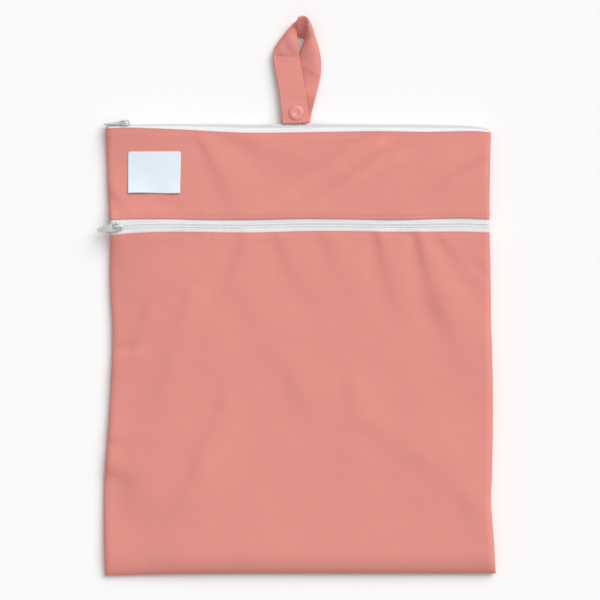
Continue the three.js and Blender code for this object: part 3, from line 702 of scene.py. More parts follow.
@dataclass(frozen=True)
class WovenTape(Finish):
    """Zip tape: lengthwise ribs with a fine weave across them."""

    rib: float = 0.0011

    def dress(self, dresser: Dresser) -> None:
        """Dresses the tape with ribs, weave and faint grey streaks.

        Args:
            dresser: The material's short hand.
        """
        flat = dresser.flat()
        ribs = dresser.ribs(flat, "Y", self.rib)
        weave = dresser.ribs(flat, "X", self.rib * 0.6)
        streak = dresser.noise(flat, 0.004, 2, (0.12, 2.5, 1))
        dresser.tone(streak, 0.94, 1.03)
        dresser.bump(ribs, 0.00012, 0.5)
        dresser.bump(dresser.math("MULTIPLY", weave, ribs), 0.00005, 0.4)
        dresser.rough(streak, 0.05, 0.05)
        dresser.set(Sheen_Weight=0.15)


@dataclass(frozen=True)
class Moulded(Finish):
    """Nylon or plastic with a soft gloss and a faint moulded grain."""

    grain: float = 0.0004

    def dress(self, dresser: Dresser) -> None:
        """Dresses the plastic with a faint grain and uneven tone.

        Args:
            dresser: The material's short hand.
        """
        place = dresser.place()
        spots = dresser.noise(place, 0.002, 2)
        dresser.tone(spots, 0.97, 1.02)
        dresser.bump(dresser.noise(place, self.grain, 1), 0.00002, 0.35)
        dresser.rough(spots, 0.05, 0.07)


@dataclass(frozen=True)
class SewingThread(Finish):
    """Spun thread: a fine slant of plies."""

    def dress(self, dresser: Dresser) -> None:
        """Dresses the thread with plies and uneven tone.

        Args:
            dresser: The material's short hand.
        """
        place = dresser.place()
        plies = dresser.noise(place, 0.0004, 1, (1.6, 0.7, 1))
        dresser.tone(plies, 0.9, 1.06)
        dresser.bump(plies, 0.00005, 0.5)
        dresser.set(Sheen_Weight=0.2)


@dataclass(frozen=True)
class PlatedMetal(Finish):
    """Plated die-cast metal: soft highlights, tiny pits and handling marks."""

    def dress(self, dresser: Dresser) -> None:
        """Dresses the metal with uneven plating, pits and fine scratches.

        Args:
            dresser: The material's short hand.
        """
        place = dresser.place()
        cloudy = dresser.noise(place, 0.0016, 3)
        dresser.tone(cloudy, 0.86, 1.05)
        dresser.bump(dresser.noise(place, 0.0011, 3), 0.00006, 0.5)
        dresser.bump(dresser.noise(place, 0.0009, 1, (0.15, 2.4, 1)), 0.00002, 0.4)
        dresser.rough(cloudy, 0.08, 0.12)
        dresser.set(Metallic=1.0)


@dataclass(frozen=True)
class SatinRibbon(Finish):
    """Satin label ribbon: long fine floats with a silky gloss."""

    def dress(self, dresser: Dresser) -> None:
        """Dresses the ribbon with floats, a soft gloss and a faint cloudiness.

        Args:
            dresser: The material's short hand.
        """
        flat = dresser.flat()
        floats = dresser.noise(flat, 0.0011, 2, (0.35, 3.2, 1))
        cloud = dresser.noise(flat, 0.012, 2)
        dresser.tone(cloud, 0.985, 1.02)
        dresser.bump(floats, 0.00003, 0.35)
        dresser.bump(dresser.noise(flat, 0.006, 2), 0.00018, 0.4)
        dresser.rough(floats, 0.05, 0.08)
        dresser.set(Sheen_Weight=0.25)


@dataclass(frozen=True)
class StudioPaper(Finish):
    """Matt pale paper under the bag."""

    def dress(self, dresser: Dresser) -> None:
        """Dresses the paper with a barely uneven tone."""
        dresser.tone(dresser.noise(dresser.place(), 0.4, 2), 0.995, 1)


CLOTH = KnitCloth("coral_knit_cloth", (0.765, 0.288, 0.246), 0.82)
TAPE = WovenTape("pale_zip_tape", (0.815, 0.83, 0.83), 0.7)
COIL = Moulded("pale_nylon_coil", (0.80, 0.80, 0.82), 0.5)
TAPE_THREAD = SewingThread("pale_zip_thread", (0.83, 0.84, 0.85), 0.7)
THREAD = SewingThread("coral_sewing_thread", (0.775, 0.295, 0.252), 0.62)
SNAP = Moulded("coral_snap_plastic", (0.79, 0.31, 0.27), 0.26)
METAL = PlatedMetal("plated_slider_metal", (0.76, 0.76, 0.75), 0.42)
SATIN = SatinRibbon("cool_white_satin", (0.79, 0.885, 0.965), 0.42)
PAPER = StudioPaper("pale_studio_paper", (0.97, 0.97, 0.97), 0.9)


def keep(obj: bpy.types.Object, finish: Finish, body: Body = Body.BAG,
         instead_of: Sequence[str] = ()) -> bpy.types.Object:
    """Gives a finished piece its finish, its body and the solids that it stands for.

    Args:
        obj: The piece, in place.
        finish: Its finish.
        body: The body that carries it.
        instead_of: The names of the solids that it stands for.

    Returns:
        The piece.
    """
    finish.wear(obj)
    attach(obj, body.value)
    if instead_of:
        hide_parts(*instead_of)
    log.info("%s: %d faces on %s", obj.name, len(obj.data.polygons), body.value)
    return obj


@dataclass
class RepeatedTrim:
    """Rows of one small shape along paths, made with Geometry Nodes."""

    name: str
    shape: bpy.types.Object
    pitch: float
    finish: Finish

    def tree(self) -> bpy.types.NodeTree:
        """Builds the node tree that sets the shape along each path.

        Returns:
            The tree. Its inputs are the shape, the pitch, the finish and the seed of a slight unevenness.
        """
        tree = bpy.data.node_groups.new(self.name, "GeometryNodeTree")
        tree.interface.new_socket("Geometry", in_out="OUTPUT", socket_type="NodeSocketGeometry")
        for label, kind in (("Paths", "Geometry"), ("Shape", "Object"), ("Pitch", "Float"),
                            ("Finish", "Material"), ("Unevenness", "Float"), ("Seed", "Int")):
            tree.interface.new_socket(label, in_out="INPUT", socket_type=f"NodeSocket{kind}")
        node = NodeMaker(tree).node
        given = node("NodeGroupInput").outputs
        curve = node("GeometryNodeMeshToCurve", {0: given["Paths"]}).outputs[0]
        spaced = node("GeometryNodeResampleCurve", {"Curve": curve, "Length": given["Pitch"]}, mode="LENGTH")
        outward = node("GeometryNodeInputNamedAttribute", {"Name": "outward"}, data_type="FLOAT_VECTOR")
        stand = node("FunctionNodeAlignRotationToVector", {"Vector": outward.outputs["Attribute"]}, axis="Z")
        tangent = node("GeometryNodeInputTangent").outputs[0]
        point = node("FunctionNodeAlignRotationToVector", {"Rotation": stand.outputs[0], "Vector": tangent},
                     axis="X", pivot_axis="Z")
        least, most = (node("ShaderNodeMath", {0: 1.0, 1: given["Unevenness"]}, operation=way).outputs[0]
                       for way in ("SUBTRACT", "ADD"))
        uneven = node("FunctionNodeRandomValue", {"Seed": given["Seed"]}, data_type="FLOAT")
        limits = [socket for socket in uneven.inputs
                  if socket.type == "VALUE" and socket.name in ("Min", "Max")]
        for limit, socket in zip((least, most), limits):
            tree.links.new(limit, socket)
        shape = node("GeometryNodeObjectInfo", {"Object": given["Shape"], "As Instance": True})
        placed = node("GeometryNodeInstanceOnPoints", {
            "Points": spaced.outputs[0], "Instance": shape.outputs["Geometry"], "Rotation": point.outputs[0],
            "Scale": next(socket for socket in uneven.outputs if socket.type == "VALUE"),
        })
        real = node("GeometryNodeRealizeInstances", {0: placed.outputs[0]})
        dressed = node("GeometryNodeSetMaterial", {"Geometry": real.outputs[0], "Material": given["Finish"]})
        node("NodeGroupOutput", {0: dressed.outputs[0]})
        return tree

    def make(self, paths: Sequence[np.ndarray], outward: Sequence[np.ndarray],
             unevenness: float = 0.0, seed: int = 3) -> bpy.types.Object:
        """Sets the shape along the paths and bakes the result.

        Args:
            paths: The points of each path, in millimetres.
            outward: The outward direction at each of those points.
            unevenness: How much the shapes differ in size, as a share.
            seed: The seed of that difference.

        Returns:
            One plain mesh, linked and in place.
        """
        points, edges, ways = [], [], []
        for path, ups in zip(paths, outward):
            start = sum(len(p) for p in points)
            points.append(path)
            ways.append(ups)
            edges += [(start + i, start + i + 1) for i in range(len(path) - 1)]
        mesh = bpy.data.meshes.new(f"{self.name}_paths")
        mesh.from_pydata((np.concatenate(points) * MM).tolist(), edges, [])
        mesh.attributes.new("outward", "FLOAT_VECTOR", "POINT").data.foreach_set(
            "vector", np.concatenate(ways).astype(np.float32).ravel())
        guide = shown(bpy.data.objects.new(f"{self.name}_paths", mesh))
        tree = self.tree()
        modifier = guide.modifiers.new("row", "NODES")
        modifier.node_group = tree
        values = {"Shape": self.shape, "Pitch": self.pitch * MM, "Finish": self.finish.material(),
                  "Unevenness": unevenness, "Seed": seed}
        for item in tree.interface.items_tree:
            if item.item_type == "SOCKET" and item.name in values:
                modifier[item.identifier] = values[item.name]
        depsgraph = bpy.context.evaluated_depsgraph_get()
        baked = bpy.data.meshes.new_from_object(guide.evaluated_get(depsgraph), depsgraph=depsgraph)
        baked.name = self.name
        guide.modifiers.clear()
        for spare in (guide, self.shape):
            bpy.data.objects.remove(spare)
        baked.shade_smooth()
        return shown(bpy.data.objects.new(self.name, baked))


def tube(path: np.ndarray, radius: float, sides: int, closed: bool) -> tuple[np.ndarray, list]:
    """A round tube along points.

    Args:
        path: The middle line.
        radius: The tube's radius, one for all points or one for each.
        sides: How many sides it has.
        closed: True where the end meets the start.

    Returns:
        The points and the faces.
    """
    count = len(path)
    radius = np.broadcast_to(radius, count)
    ahead = np.roll(path, -1, 0) if closed else np.vstack([path[1:], path[-1:]])
    behind = np.roll(path, 1, 0) if closed else np.vstack([path[:1], path[:-1]])
    way = ahead - behind
    way /= np.linalg.norm(way, axis=1, keepdims=True)
    normal = np.cross(way, [0.31, 0.92, 0.24] if abs(way[0, 0]) > 0.5 else [1.0, 0.0, 0.0])
    normal /= np.linalg.norm(normal, axis=1, keepdims=True)
    other = np.cross(way, normal)
    turn = 2 * math.pi * np.arange(sides) / sides
    ring = normal[:, None] * np.cos(turn)[:, None] + other[:, None] * np.sin(turn)[:, None]
    points = (path[:, None] + ring * radius[:, None, None]).reshape(-1, 3)
    faces = []
    for i in range(count if closed else count - 1):
        j = (i + 1) % count
        faces += [(i * sides + k, i * sides + (k + 1) % sides, j * sides + (k + 1) % sides, j * sides + k)
                  for k in range(sides)]
    if not closed:
        faces += [tuple(reversed(range(sides))), tuple(range((count - 1) * sides, count * sides))]
    return points, faces


def stitch_shape(length: float, radius: float) -> bpy.types.Object:
    """One stitch of thread, its ends dipping into the cloth.

    Args:
        length: Its length, in millimetres.
        radius: The thread's radius, in millimetres.

    Returns:
        The stitch, along X.
    """
    at = np.array([-0.5, -0.4, -0.15, 0.15, 0.4, 0.5])
    drop = np.array([-1.2, -0.2, 0.25, 0.25, -0.2, -1.2]) * radius
    path = np.stack([at * length, np.zeros(6), drop], axis=-1)
    points, faces = tube(path, np.array([0.6, 0.95, 1, 1, 0.95, 0.6]) * radius, 6, False)
    return mesh_object("stitch", points, faces)


@dataclass
class BackPanel:
    """The back face: a shallow tray of cloth, flat where it rests, its rim turned up to the seams."""

    form: BagForm
    reach: float = 9
    columns: int = 90
    rows: int = 100
    rim: tuple[float, ...] = (0, 0.3, 0.7, 1.3, 2.1, 3.2, 4.6, 6.4, 8.4)
    tuck_reach: float = 0.8
    tuck: float = 0.45
    slack: float = 0.22

    def upturn(self, distance: np.ndarray) -> np.ndarray:
        """How far the rim turns up, from 1 at its edge to 0 where it lies flat."""
        return np.maximum(1 - distance / self.reach, 0) ** 2

    def face(self, height: float) -> np.ndarray:
        """A grid of points on one face of the tray.

        Args:
            height: The face's height where the tray is flat.

        Returns:
            Rows by columns of points.
        """
        form, rim, inset = self.form, np.array(self.rim), self.reach + 1
        y = np.concatenate([form.bottom + rim,
                            np.linspace(form.bottom + inset, form.top - form.tape_wall, self.rows)])[:, None]
        left, right = form.edge(Side.LEFT, y), form.edge(Side.RIGHT, y)
        share = np.linspace(0, 1, self.columns)[None, :]
        x = np.concatenate([left + rim, mix(left + inset, right - inset, share), right - rim[::-1]], axis=1)
        from_side, from_bottom = np.minimum(x - left, right - x), y - form.bottom
        side, foot = self.upturn(from_side), self.upturn(from_bottom) * np.ones_like(x)
        lift = side + foot - side * foot
        tuck = self.tuck * np.maximum(1 - np.minimum(from_side, from_bottom) / self.tuck_reach, 0)
        x = x - np.sign(x - (left + right) / 2) * tuck * (from_side < self.tuck_reach)
        waves = np.sin(0.083 * x + 0.05 * y) * np.sin(0.041 * x - 0.07 * y + 1)
        slack = self.slack * (1 - lift) * np.clip(waves, 0, 1)
        y = y - (form.bottom - form.bottom_at(x)) * foot + tuck * (from_bottom < self.tuck_reach)
        y = np.minimum(y, form.mouth("rear", x) - form.tape_wall)
        return np.stack([x, y, height + slack + (form.seam - form.wall) * lift], axis=-1)

    def make(self) -> None:
        """Makes the back face."""
        panel = cloth_object("back_face", self.face(self.form.wall), self.face(0.0))
        keep(panel, CLOTH, instead_of=("back_panel",))


@dataclass
class FrontPanels:
    """The front face in two panels above and below the front zip, with turned and topstitched hems."""

    form: BagForm
    columns: Columns = field(default_factory=lambda: Columns.spread(168, 12))
    hem: float = 6.8
    stitch_from_edge: float = 3.2
    stitch_length: float = 2.5
    stitch_pitch: float = 3.0
    band: float = 0.10
    groove: float = 0.12
    pucker: float = 0.13
    edge_fall: float = 0.24
    near_edge: tuple[float, ...] = (0, 0.15, 0.35, 0.6, 0.8, 1.0, 1.2, 1.5, 1.9, 2.3, 2.7, 3.0, 3.2, 3.4, 3.7,
                                    4.1, 4.7, 5.4, 6.0, 6.4, 6.8, 7.2, 7.6, 8.2, 9.0, 10.2)

    def hem_relief(self, distance: np.ndarray, x: np.ndarray, droops: bool) -> np.ndarray:
        """Relief of a turned hem: a doubled band, its sewn groove and the puckers along it.

        Args:
            distance: How far each point lies from the hem's edge.
            x: Places along the hem.
            droops: True where the edge falls away softly, False where it is pressed to a firm line.

        Returns:
            How far the cloth's face stands out.
        """
        from_stitch = distance - self.stitch_from_edge
        band = self.band / (1 + np.exp((distance - self.hem) / 0.6))
        groove = self.groove * bell(from_stitch, 0.8)
        ripple = (np.sin(x * 0.74) + np.sin(x * 1.31 + 1.7) + np.sin(x * 2.23 + 0.6)) / 3
        pucker = self.pucker * ripple * (0.4 + np.sin(x * 0.061) ** 2) * bell(from_stitch, 4.0)
        press = distance - 1.15
        edge = bell(distance, 1.9) if droops else np.where(press < 0, bell(press, 0.5), bell(press, 1.7))
        return band - groove + pucker - self.edge_fall * edge - rounded_rim(self.form.wall, distance)

    def lower(self, depth: float) -> np.ndarray:
        """Points of the panel below the front zip.

        Args:
            depth: 0 for the outer face, the wall for the inner one.

        Returns:
            Rows by columns of points.
        """
        form, cols = self.form, self.columns
        foot = np.radians(mix(0, 90, (np.arange(14) / 14) ** 0.85))[:, None]
        rolled_y = form.bottom + form.bottom_roll * (1 - np.cos(foot))
        edge = form.zip_edge(ZipEdge.LOWER, form.column_x(cols, form.zip_y))[None, :]
        near = np.array(self.near_edge[::-1])[:, None]
        share = np.linspace(0, 1, 128)[:-1, None]
        y = np.concatenate([mix(form.bottom + form.bottom_roll, edge - near[0] - 0.8, share), edge - near])
        x = form.skin(cols, y)[..., 0]
        relief = self.hem_relief(edge - y, x, False)
        return self.with_side_tuck(np.concatenate([
            form.skin(cols, rolled_y, depth, foot),
            form.skin(cols, y, self.settled(depth, relief, edge - y)),
        ]))

    def upper(self, depth: float) -> np.ndarray:
        """Points of the panel above the front zip.

        Args:
            depth: 0 for the outer face, the wall for the inner one.

        Returns:
            Rows by columns of points.
        """
        form, cols = self.form, self.columns
        low = form.zip_edge(ZipEdge.UPPER, form.column_x(cols, form.zip_y))[None, :]
        high = form.mouth("front", form.column_x(cols, form.top))[None, :]
        near = np.array(self.near_edge)[:, None]
        share = np.linspace(0, 1, 40)[1:-1, None]
        y = np.concatenate([low + near, mix(low + near[-1], high - near[-1], share), high - near[::-1]])
        x = form.skin(cols, y)[..., 0]
        relief = self.hem_relief(y - low, x, True) + self.hem_relief(high - y, x + 57, False)
        return self.with_side_tuck(
            form.skin(cols, y, self.settled(depth, relief, np.minimum(y - low, high - y))))

    def settled(self, depth: float, relief: np.ndarray, distance: np.ndarray) -> np.ndarray:
        """Depth of each point: the hem's relief on the outer face, a round rim on the inner one."""
        return depth - rounded_rim(self.form.wall, distance) if depth else -relief

    @staticmethod
    def with_side_tuck(grid: np.ndarray) -> np.ndarray:
        """Turns the outer two columns on each side inward, so that the side seam is a crease.

        Args:
            grid: Rows by columns of points, which are changed.

        Returns:
            The same grid.
        """
        for i, by in ((0, 0.5), (1, 0.16)):
            grid[:, i, 0] += by
            grid[:, -1 - i, 0] -= by
        return grid

    def seam_rows(self) -> tuple[list[np.ndarray], list[np.ndarray]]:
        """Rows of topstitching beside both zips.

        Returns:
            The path of each row and its outward directions.
        """
        form, cols, inset = self.form, Columns.spread(150, 4, 40), self.stitch_from_edge
        at_zip, at_mouth = form.column_x(cols, form.zip_y), form.column_x(cols, form.top)
        lines = (form.zip_edge(ZipEdge.LOWER, at_zip) - inset, form.zip_edge(ZipEdge.UPPER, at_zip) + inset,
                 form.mouth("front", at_mouth) - inset)
        paths = [form.skin(cols, y[None, :], 0.05)[0] for y in lines]
        return paths, [same_way((0, 0, 1), len(path)) for path in paths]

    def make(self) -> None:
        """Makes both panels and their topstitching."""
        wall = self.form.wall
        lower = cloth_object("lower_front_face", self.lower(0.0), self.lower(wall))
        keep(lower, CLOTH, instead_of=("lower_front_panel",))
        upper = cloth_object("upper_front_face", self.upper(0.0), self.upper(wall))
        keep(upper, CLOTH, instead_of=("upper_front_panel",))
        trim = RepeatedTrim("hem_stitches", stitch_shape(self.stitch_length, 0.17),
                            self.stitch_pitch, THREAD)
        keep(trim.make(*self.seam_rows(), unevenness=0.05), THREAD)


def coil_shape(half: float, thread: float) -> bpy.types.Object:
    """One turn of a zip coil: a flat ring from the tape's edge to its hooked head past the middle.

    Args:
        half: Half the coil's width, in millimetres.
        thread: The thread's radius, in millimetres.

    Returns:
        The turn, across Y, its head towards -Y.
    """
    turn = 2 * math.pi * np.arange(10) / 10
    out, up = np.cos(turn), np.sin(turn)
    y = np.where(out > 0, out * half * 0.46, out * half * 0.54) + half * 0.45
    path = np.stack([0.16 * up, y, up * 0.5 + 0.08], axis=-1)
    points, faces = tube(path, thread, 4, True)
    return mesh_object("coil_turn", points, faces)


@dataclass
class ZipCoil:
    """Two meshed rows of coil turns with their sewing threads."""

    name: str
    instead_of: str
    pitch: float = 1.1
    width: float = 4.0
    thread: float = 0.33

    def make(self, line: np.ndarray, across: np.ndarray, face: np.ndarray) -> None:
        """Makes the coil along a line.

        Args:
            line: The zip's middle line, from its slider end.
            across: The direction across the zip at each point.
            face: The direction out of its face at each point.
        """
        ahead = line + (line[1] - line[0]) / np.linalg.norm(line[1] - line[0]) * self.pitch / 2
        rows = RepeatedTrim(self.name, coil_shape(self.width / 2, self.thread), self.pitch, COIL)
        coil = rows.make([line, ahead[::-1]], [face, face[::-1]])
        keep(coil, COIL, instead_of=(self.instead_of,))
        paths = [line + across * offset + face * 0.86 for offset in (-1.2, 1.2)]
        threads = RepeatedTrim(f"{self.name}_threads", stitch_shape(2.3, 0.2), 2.5, TAPE_THREAD)
        keep(threads.make(paths, [face, face], unevenness=0.04), TAPE_THREAD)


@dataclass
class FrontZip:
    """The zip across the front: two tapes under the panels' hems and the coil between them."""

    form: BagForm
    columns: Columns = field(default_factory=lambda: Columns.spread(120, 10))
    allowance: float = 6.0
    slider_from_edge: float = 6.8
    slider_length: float = 8.4
    crown: float = 0.05
    raised: float = 0.25
    gap: float = 0.12

    def middle(self, cols: Columns) -> np.ndarray:
        """The zip's middle line.

        Args:
            cols: The stations across.

        Returns:
            A point at each station.
        """
        form = self.form
        x = form.column_x(cols, form.zip_y)
        y = (form.zip_edge(ZipEdge.UPPER, x) + form.zip_edge(ZipEdge.LOWER, x)) / 2
        return form.skin(cols, y[None, :], form.tape_depth)[0]

    def tape(self, which: ZipEdge, depth: float) -> np.ndarray:
        """A grid of points on one face of a tape, rows up the bag.

        Args:
            which: The tape above or below the zip.
            depth: The face's depth below the cloth's face.

        Returns:
            Rows by columns of points.
        """
        form, cols, sign = self.form, self.columns, which.value
        middle = self.middle(cols)[:, 1]
        edge = form.zip_edge(which, form.column_x(cols, form.zip_y))
        inner = middle + sign * self.gap
        shares = np.concatenate([np.linspace(0, 1, 12), [1.06, 1.25, 1.6, 2.0]])[:, None]
        y = np.where(shares <= 1, mix(inner, edge, shares), edge + sign * (shares - 1) * self.allowance)
        open_part = np.clip((1.06 - shares) / 0.06, 0, 1)
        over = self.crown * open_part * np.sin(math.pi * np.clip(shares, 0, 1) ** 0.8) ** 0.7
        wrap = mix(1, np.sin(cols.angle) ** 0.8, open_part)
        grid = form.skin(cols, y, (depth - self.raised) * wrap - over)
        return grid if sign > 0 else grid[::-1]

    def make(self) -> None:
        """Makes both tapes and the coil."""
        form = self.form
        top = form.wall + form.gap
        for which in ZipEdge:
            name = f"front_zip_{which.name.lower()}_tape"
            tape = cloth_object(f"{name}_woven", self.tape(which, top), self.tape(which, top + form.tape_wall))
            keep(tape, TAPE, instead_of=(name,))
        line = self.middle(Columns.spread(150, 6, 45))
        start = form.edge(Side.LEFT, form.zip_y) + self.slider_from_edge - self.slider_length / 4
        line = line[line[:, 0] > start]
        ZipCoil("front_coil_turns", "front_zip_coil").make(
            line, same_way((0, -1, 0), len(line)), same_way((0, 0, 1), len(line)))


@dataclass
class MouthZip:
    """The zip in the bag's mouth: one tape under the front hem, one folded down to the back face."""

    form: BagForm
    columns: Columns = field(default_factory=lambda: Columns.spread(120, 8, 18))
    allowance: float = 6.0
    strap_wall: float = 1.4
    strap_width: float = 18.5
    strap_offset: float = -3.2
    rim_reach: float = 9.0
    slider_from_edge: float = 15.2
    slider_length: float = 8.4
    half_gap: float = 0.15
    coil_share: tuple[float, float] = (0.5, 0.66)
    coil_shift: tuple[float, float] = (-128, 30)

    def band(self, cols: Columns) -> dict[str, np.ndarray]:
        """The section of the mouth at each station.

        Args:
            cols: The stations across.

        Returns:
            The section's named points, and its direction across.
        """
        form = self.form
        y = form.mouth("front", form.column_x(cols, form.top))[None, :]
        front = form.skin(cols, y, form.tape_depth)[0]
        hem = form.skin(cols, front[None, :, 1] - self.allowance, form.tape_depth)[0]
        front[:, 1] += form.tape_wall / 2
        x = front[:, 0]
        near_strap = bell(x - self.strap_offset - 0.12 * self.strap_width, self.strap_width)
        over_strap = (self.strap_wall + form.gap) * np.minimum(1, 1.6 * near_strap)
        edge = np.minimum(x - form.edge(Side.LEFT, form.top), form.edge(Side.RIGHT, form.top) - x)
        over_rim = 1.15 * (form.seam - form.gap - form.wall) * np.maximum(1 - edge / self.rim_reach, 0) ** 2
        seat = form.wall + form.gap + form.tape_wall / 2 + np.maximum(over_strap, over_rim)
        rear_y = form.mouth("rear", x) - form.tape_wall / 2
        rear = np.stack([x, rear_y, seat + 1], axis=-1)
        fold = np.stack([x, rear_y - form.tape_wall, seat], axis=-1)
        tuck = np.stack([x, rear_y - self.allowance, seat], axis=-1)
        across = rear - front
        across /= np.linalg.norm(across, axis=1, keepdims=True)
        shift_from, shift_reach = self.coil_shift
        back = mix(*self.coil_share, np.clip((x - shift_from) / shift_reach, 0, 1))
        return {"hem": hem, "front": front, "rear": rear, "fold": fold, "tuck": tuck,
                "across": across, "centre": front + (rear - front) * back[:, None]}

    def strip(self, stops: Sequence[np.ndarray], wall_side: float) -> np.ndarray:
        """One face of a tape that runs over given stops, with its bends rounded.

        Args:
            stops: The section's points in order, each an array of one point a station.
            wall_side: How far this face lies from the tape's middle, with its sign.

        Returns:
            Rows by columns of points.
        """
        line = np.stack(stops)
        for _ in range(2):
            cut = [line[:1]]
            for a, b in zip(line[:-1], line[1:]):
                cut += [mix(a, b, 0.25)[None], mix(a, b, 0.75)[None]]
            line = np.concatenate([*cut, line[-1:]])
        way = np.gradient(line, axis=0)
        normal = np.stack([np.zeros_like(way[..., 0]), -way[..., 2], way[..., 1]], axis=-1)
        normal /= np.linalg.norm(normal, axis=2, keepdims=True)
        return line + wall_side * normal

    def make(self) -> None:
        """Makes both tapes and the coil."""
        band = self.band(self.columns)
        half = self.form.tape_wall / 2
        near, far = (band["centre"] + side * self.half_gap * band["across"] for side in (-1, 1))
        for name, stops in (("top_zip_front_tape", (band["hem"], band["front"], near)),
                            ("top_zip_rear_tape", (far, band["rear"], band["fold"], band["tuck"]))):
            tape = cloth_object(f"{name}_woven", self.strip(stops, half), self.strip(stops, -half))
            keep(tape, TAPE, instead_of=(name,))
        section = self.band(Columns.spread(150, 4, 60))
        start = self.form.edge(Side.LEFT, self.form.top) + self.slider_from_edge - self.slider_length / 4
        kept = section["centre"][:, 0] > start
        line, across = section["centre"][kept], section["across"][kept]
        face = np.cross([1.0, 0.0, 0.0], across)
        face /= np.linalg.norm(face, axis=1, keepdims=True)
        ZipCoil("mouth_coil_turns", "top_zip_coil").make(line, across, face)


def through(points: np.ndarray, steps: int) -> np.ndarray:
    """A smooth curve through points, even in its bends where they are unevenly spaced.

    Args:
        points: The points.
        steps: How many steps lie between two of them.

    Returns:
        The curve's points.
    """
    ends = np.vstack([2 * points[0] - points[1], points, 2 * points[-1] - points[-2]])
    made = []
    for i in range(1, len(ends) - 2):
        p0, p1, p2, p3 = ends[i - 1:i + 3]
        d0, d1, d2 = (max(np.linalg.norm(b - a) ** 0.5, 1e-4) for a, b in ((p0, p1), (p1, p2), (p2, p3)))
        t1 = ((p1 - p0) / d0 - (p2 - p0) / (d0 + d1) + (p2 - p1) / d1) * d1
        t2 = ((p2 - p1) / d1 - (p3 - p1) / (d1 + d2) + (p3 - p2) / d2) * d1
        for t in np.arange(steps) / steps:
            made.append((2 * t**3 - 3 * t**2 + 1) * p1 + (t**3 - 2 * t**2 + t) * t1
                        + (3 * t**2 - 2 * t**3) * p2 + (t**3 - t**2) * t2)
    return np.array([*made, points[-1]])


@dataclass
class HangingStrap:
    """The strap: a folded strip that stands on its edge at the arch and lies flat at its foot."""

    form: BagForm
    width: float = 21.2
    wall: float = 1.4
    reach: float = 84.5
    offset: float = -3.4
    steps: int = 10
    across: int = 28
    turn_row: float = 12.5
    peaks: tuple[float, float] = (0.66, 0.30)
    rim: float = 0.9
    groove: float = 0.18
    groove_from_edge: float = 2.1

    def middle_face(self, v: np.ndarray) -> np.ndarray:
        """The strip's middle face, its width kept: where its edges come closer, it bows up between them.

        Args:
            v: Places across the strip, from 0 to 1.

        Returns:
            Stations along the strip by places across it by three.
        """
        low, high = (np.stack([self.offset + STRAP[f"{edge}_x"] * self.width,
                               self.form.top + STRAP[f"{edge}_y"] * self.reach,
                               STRAP["base"] * self.wall], axis=-1) for edge in ("low", "high"))
        plan = np.minimum(np.linalg.norm(high - low, axis=1), self.width)
        high[:, 2] += np.sqrt(self.width**2 - plan**2) * (1 - STRAP["curl"])
        low, high = through(low, self.steps), through(high, self.steps)
        chord = np.linalg.norm(high - low, axis=1, keepdims=True)
        way = (high - low) / chord
        bowed = np.interp(np.arange(len(low)) / self.steps, np.arange(len(STRAP["curl"])), STRAP["curl"])
        kept = mix(self.width, np.minimum(chord, self.width), np.clip(3 * bowed, 0, 1)[:, None])
        v = np.broadcast_to(v, (len(low), v.shape[-1]))
        peak = np.where(np.arange(len(low)) < self.turn_row * self.steps, *self.peaks)[:, None]
        arch = 1 - np.where(v < peak, (peak - v) / peak, (v - peak) / (1 - peak)) ** 2
        rise = np.sqrt(1 + np.maximum(3 * kept * (self.width - kept) / 8, 0)) - 1
        face = ((low + high) / 2)[:, None] + (way * kept)[:, None] * (v[..., None] - 0.5)
        face[..., 2] += rise * arch
        return face

    @staticmethod
    def relief(t: np.ndarray, v: np.ndarray) -> np.ndarray:
        """How far the outer face sinks in dents, at places along and across the strip from 0 to 1."""
        return sum(depth * bell(t - at - (v - mid) * slant * 0.01, reach) * bell(v - mid, wide)
                   for at, mid, reach, wide, slant, depth in DENTS)

    def make(self) -> None:
        """Makes the strap: one closed strip with round rims and a groove along each side."""
        v = (0.5 - 0.5 * np.cos(np.linspace(0, math.pi, self.across)))[None, :]
        v = mix(v, np.linspace(0, 1, self.across)[None, :], 0.45)
        middle = self.middle_face(v)
        normal = np.cross(np.gradient(middle, axis=0), np.gradient(middle, axis=1))
        normal /= np.linalg.norm(normal, axis=2, keepdims=True)
        t = np.linspace(0, 1, len(middle))[:, None]
        edge = np.minimum(v, 1 - v) * self.width
        length = np.linalg.norm(np.diff(middle[:, self.across // 2], axis=0), axis=1).sum()
        ends = np.minimum(t, 1 - t) * length
        near = np.minimum(edge, ends)
        half = self.wall / 2 * np.sqrt(np.clip(1 - np.clip(1 - near / self.rim, 0, 1) ** 2, 0.03, 1))
        sink = self.relief(t, v) + self.groove * bell(edge - self.groove_from_edge, 0.5)
        outer = middle + normal * (half - sink)[..., None]
        inner = middle - normal * (half - sink * 0.3 + sink)[..., None]
        strap = cloth_object("strap_loop", inner[:, ::-1], outer[:, ::-1])
        keep(strap, CLOTH, instead_of=("hanging_strap",))
        log.info("strap strip: %.1f mm along its middle", length)


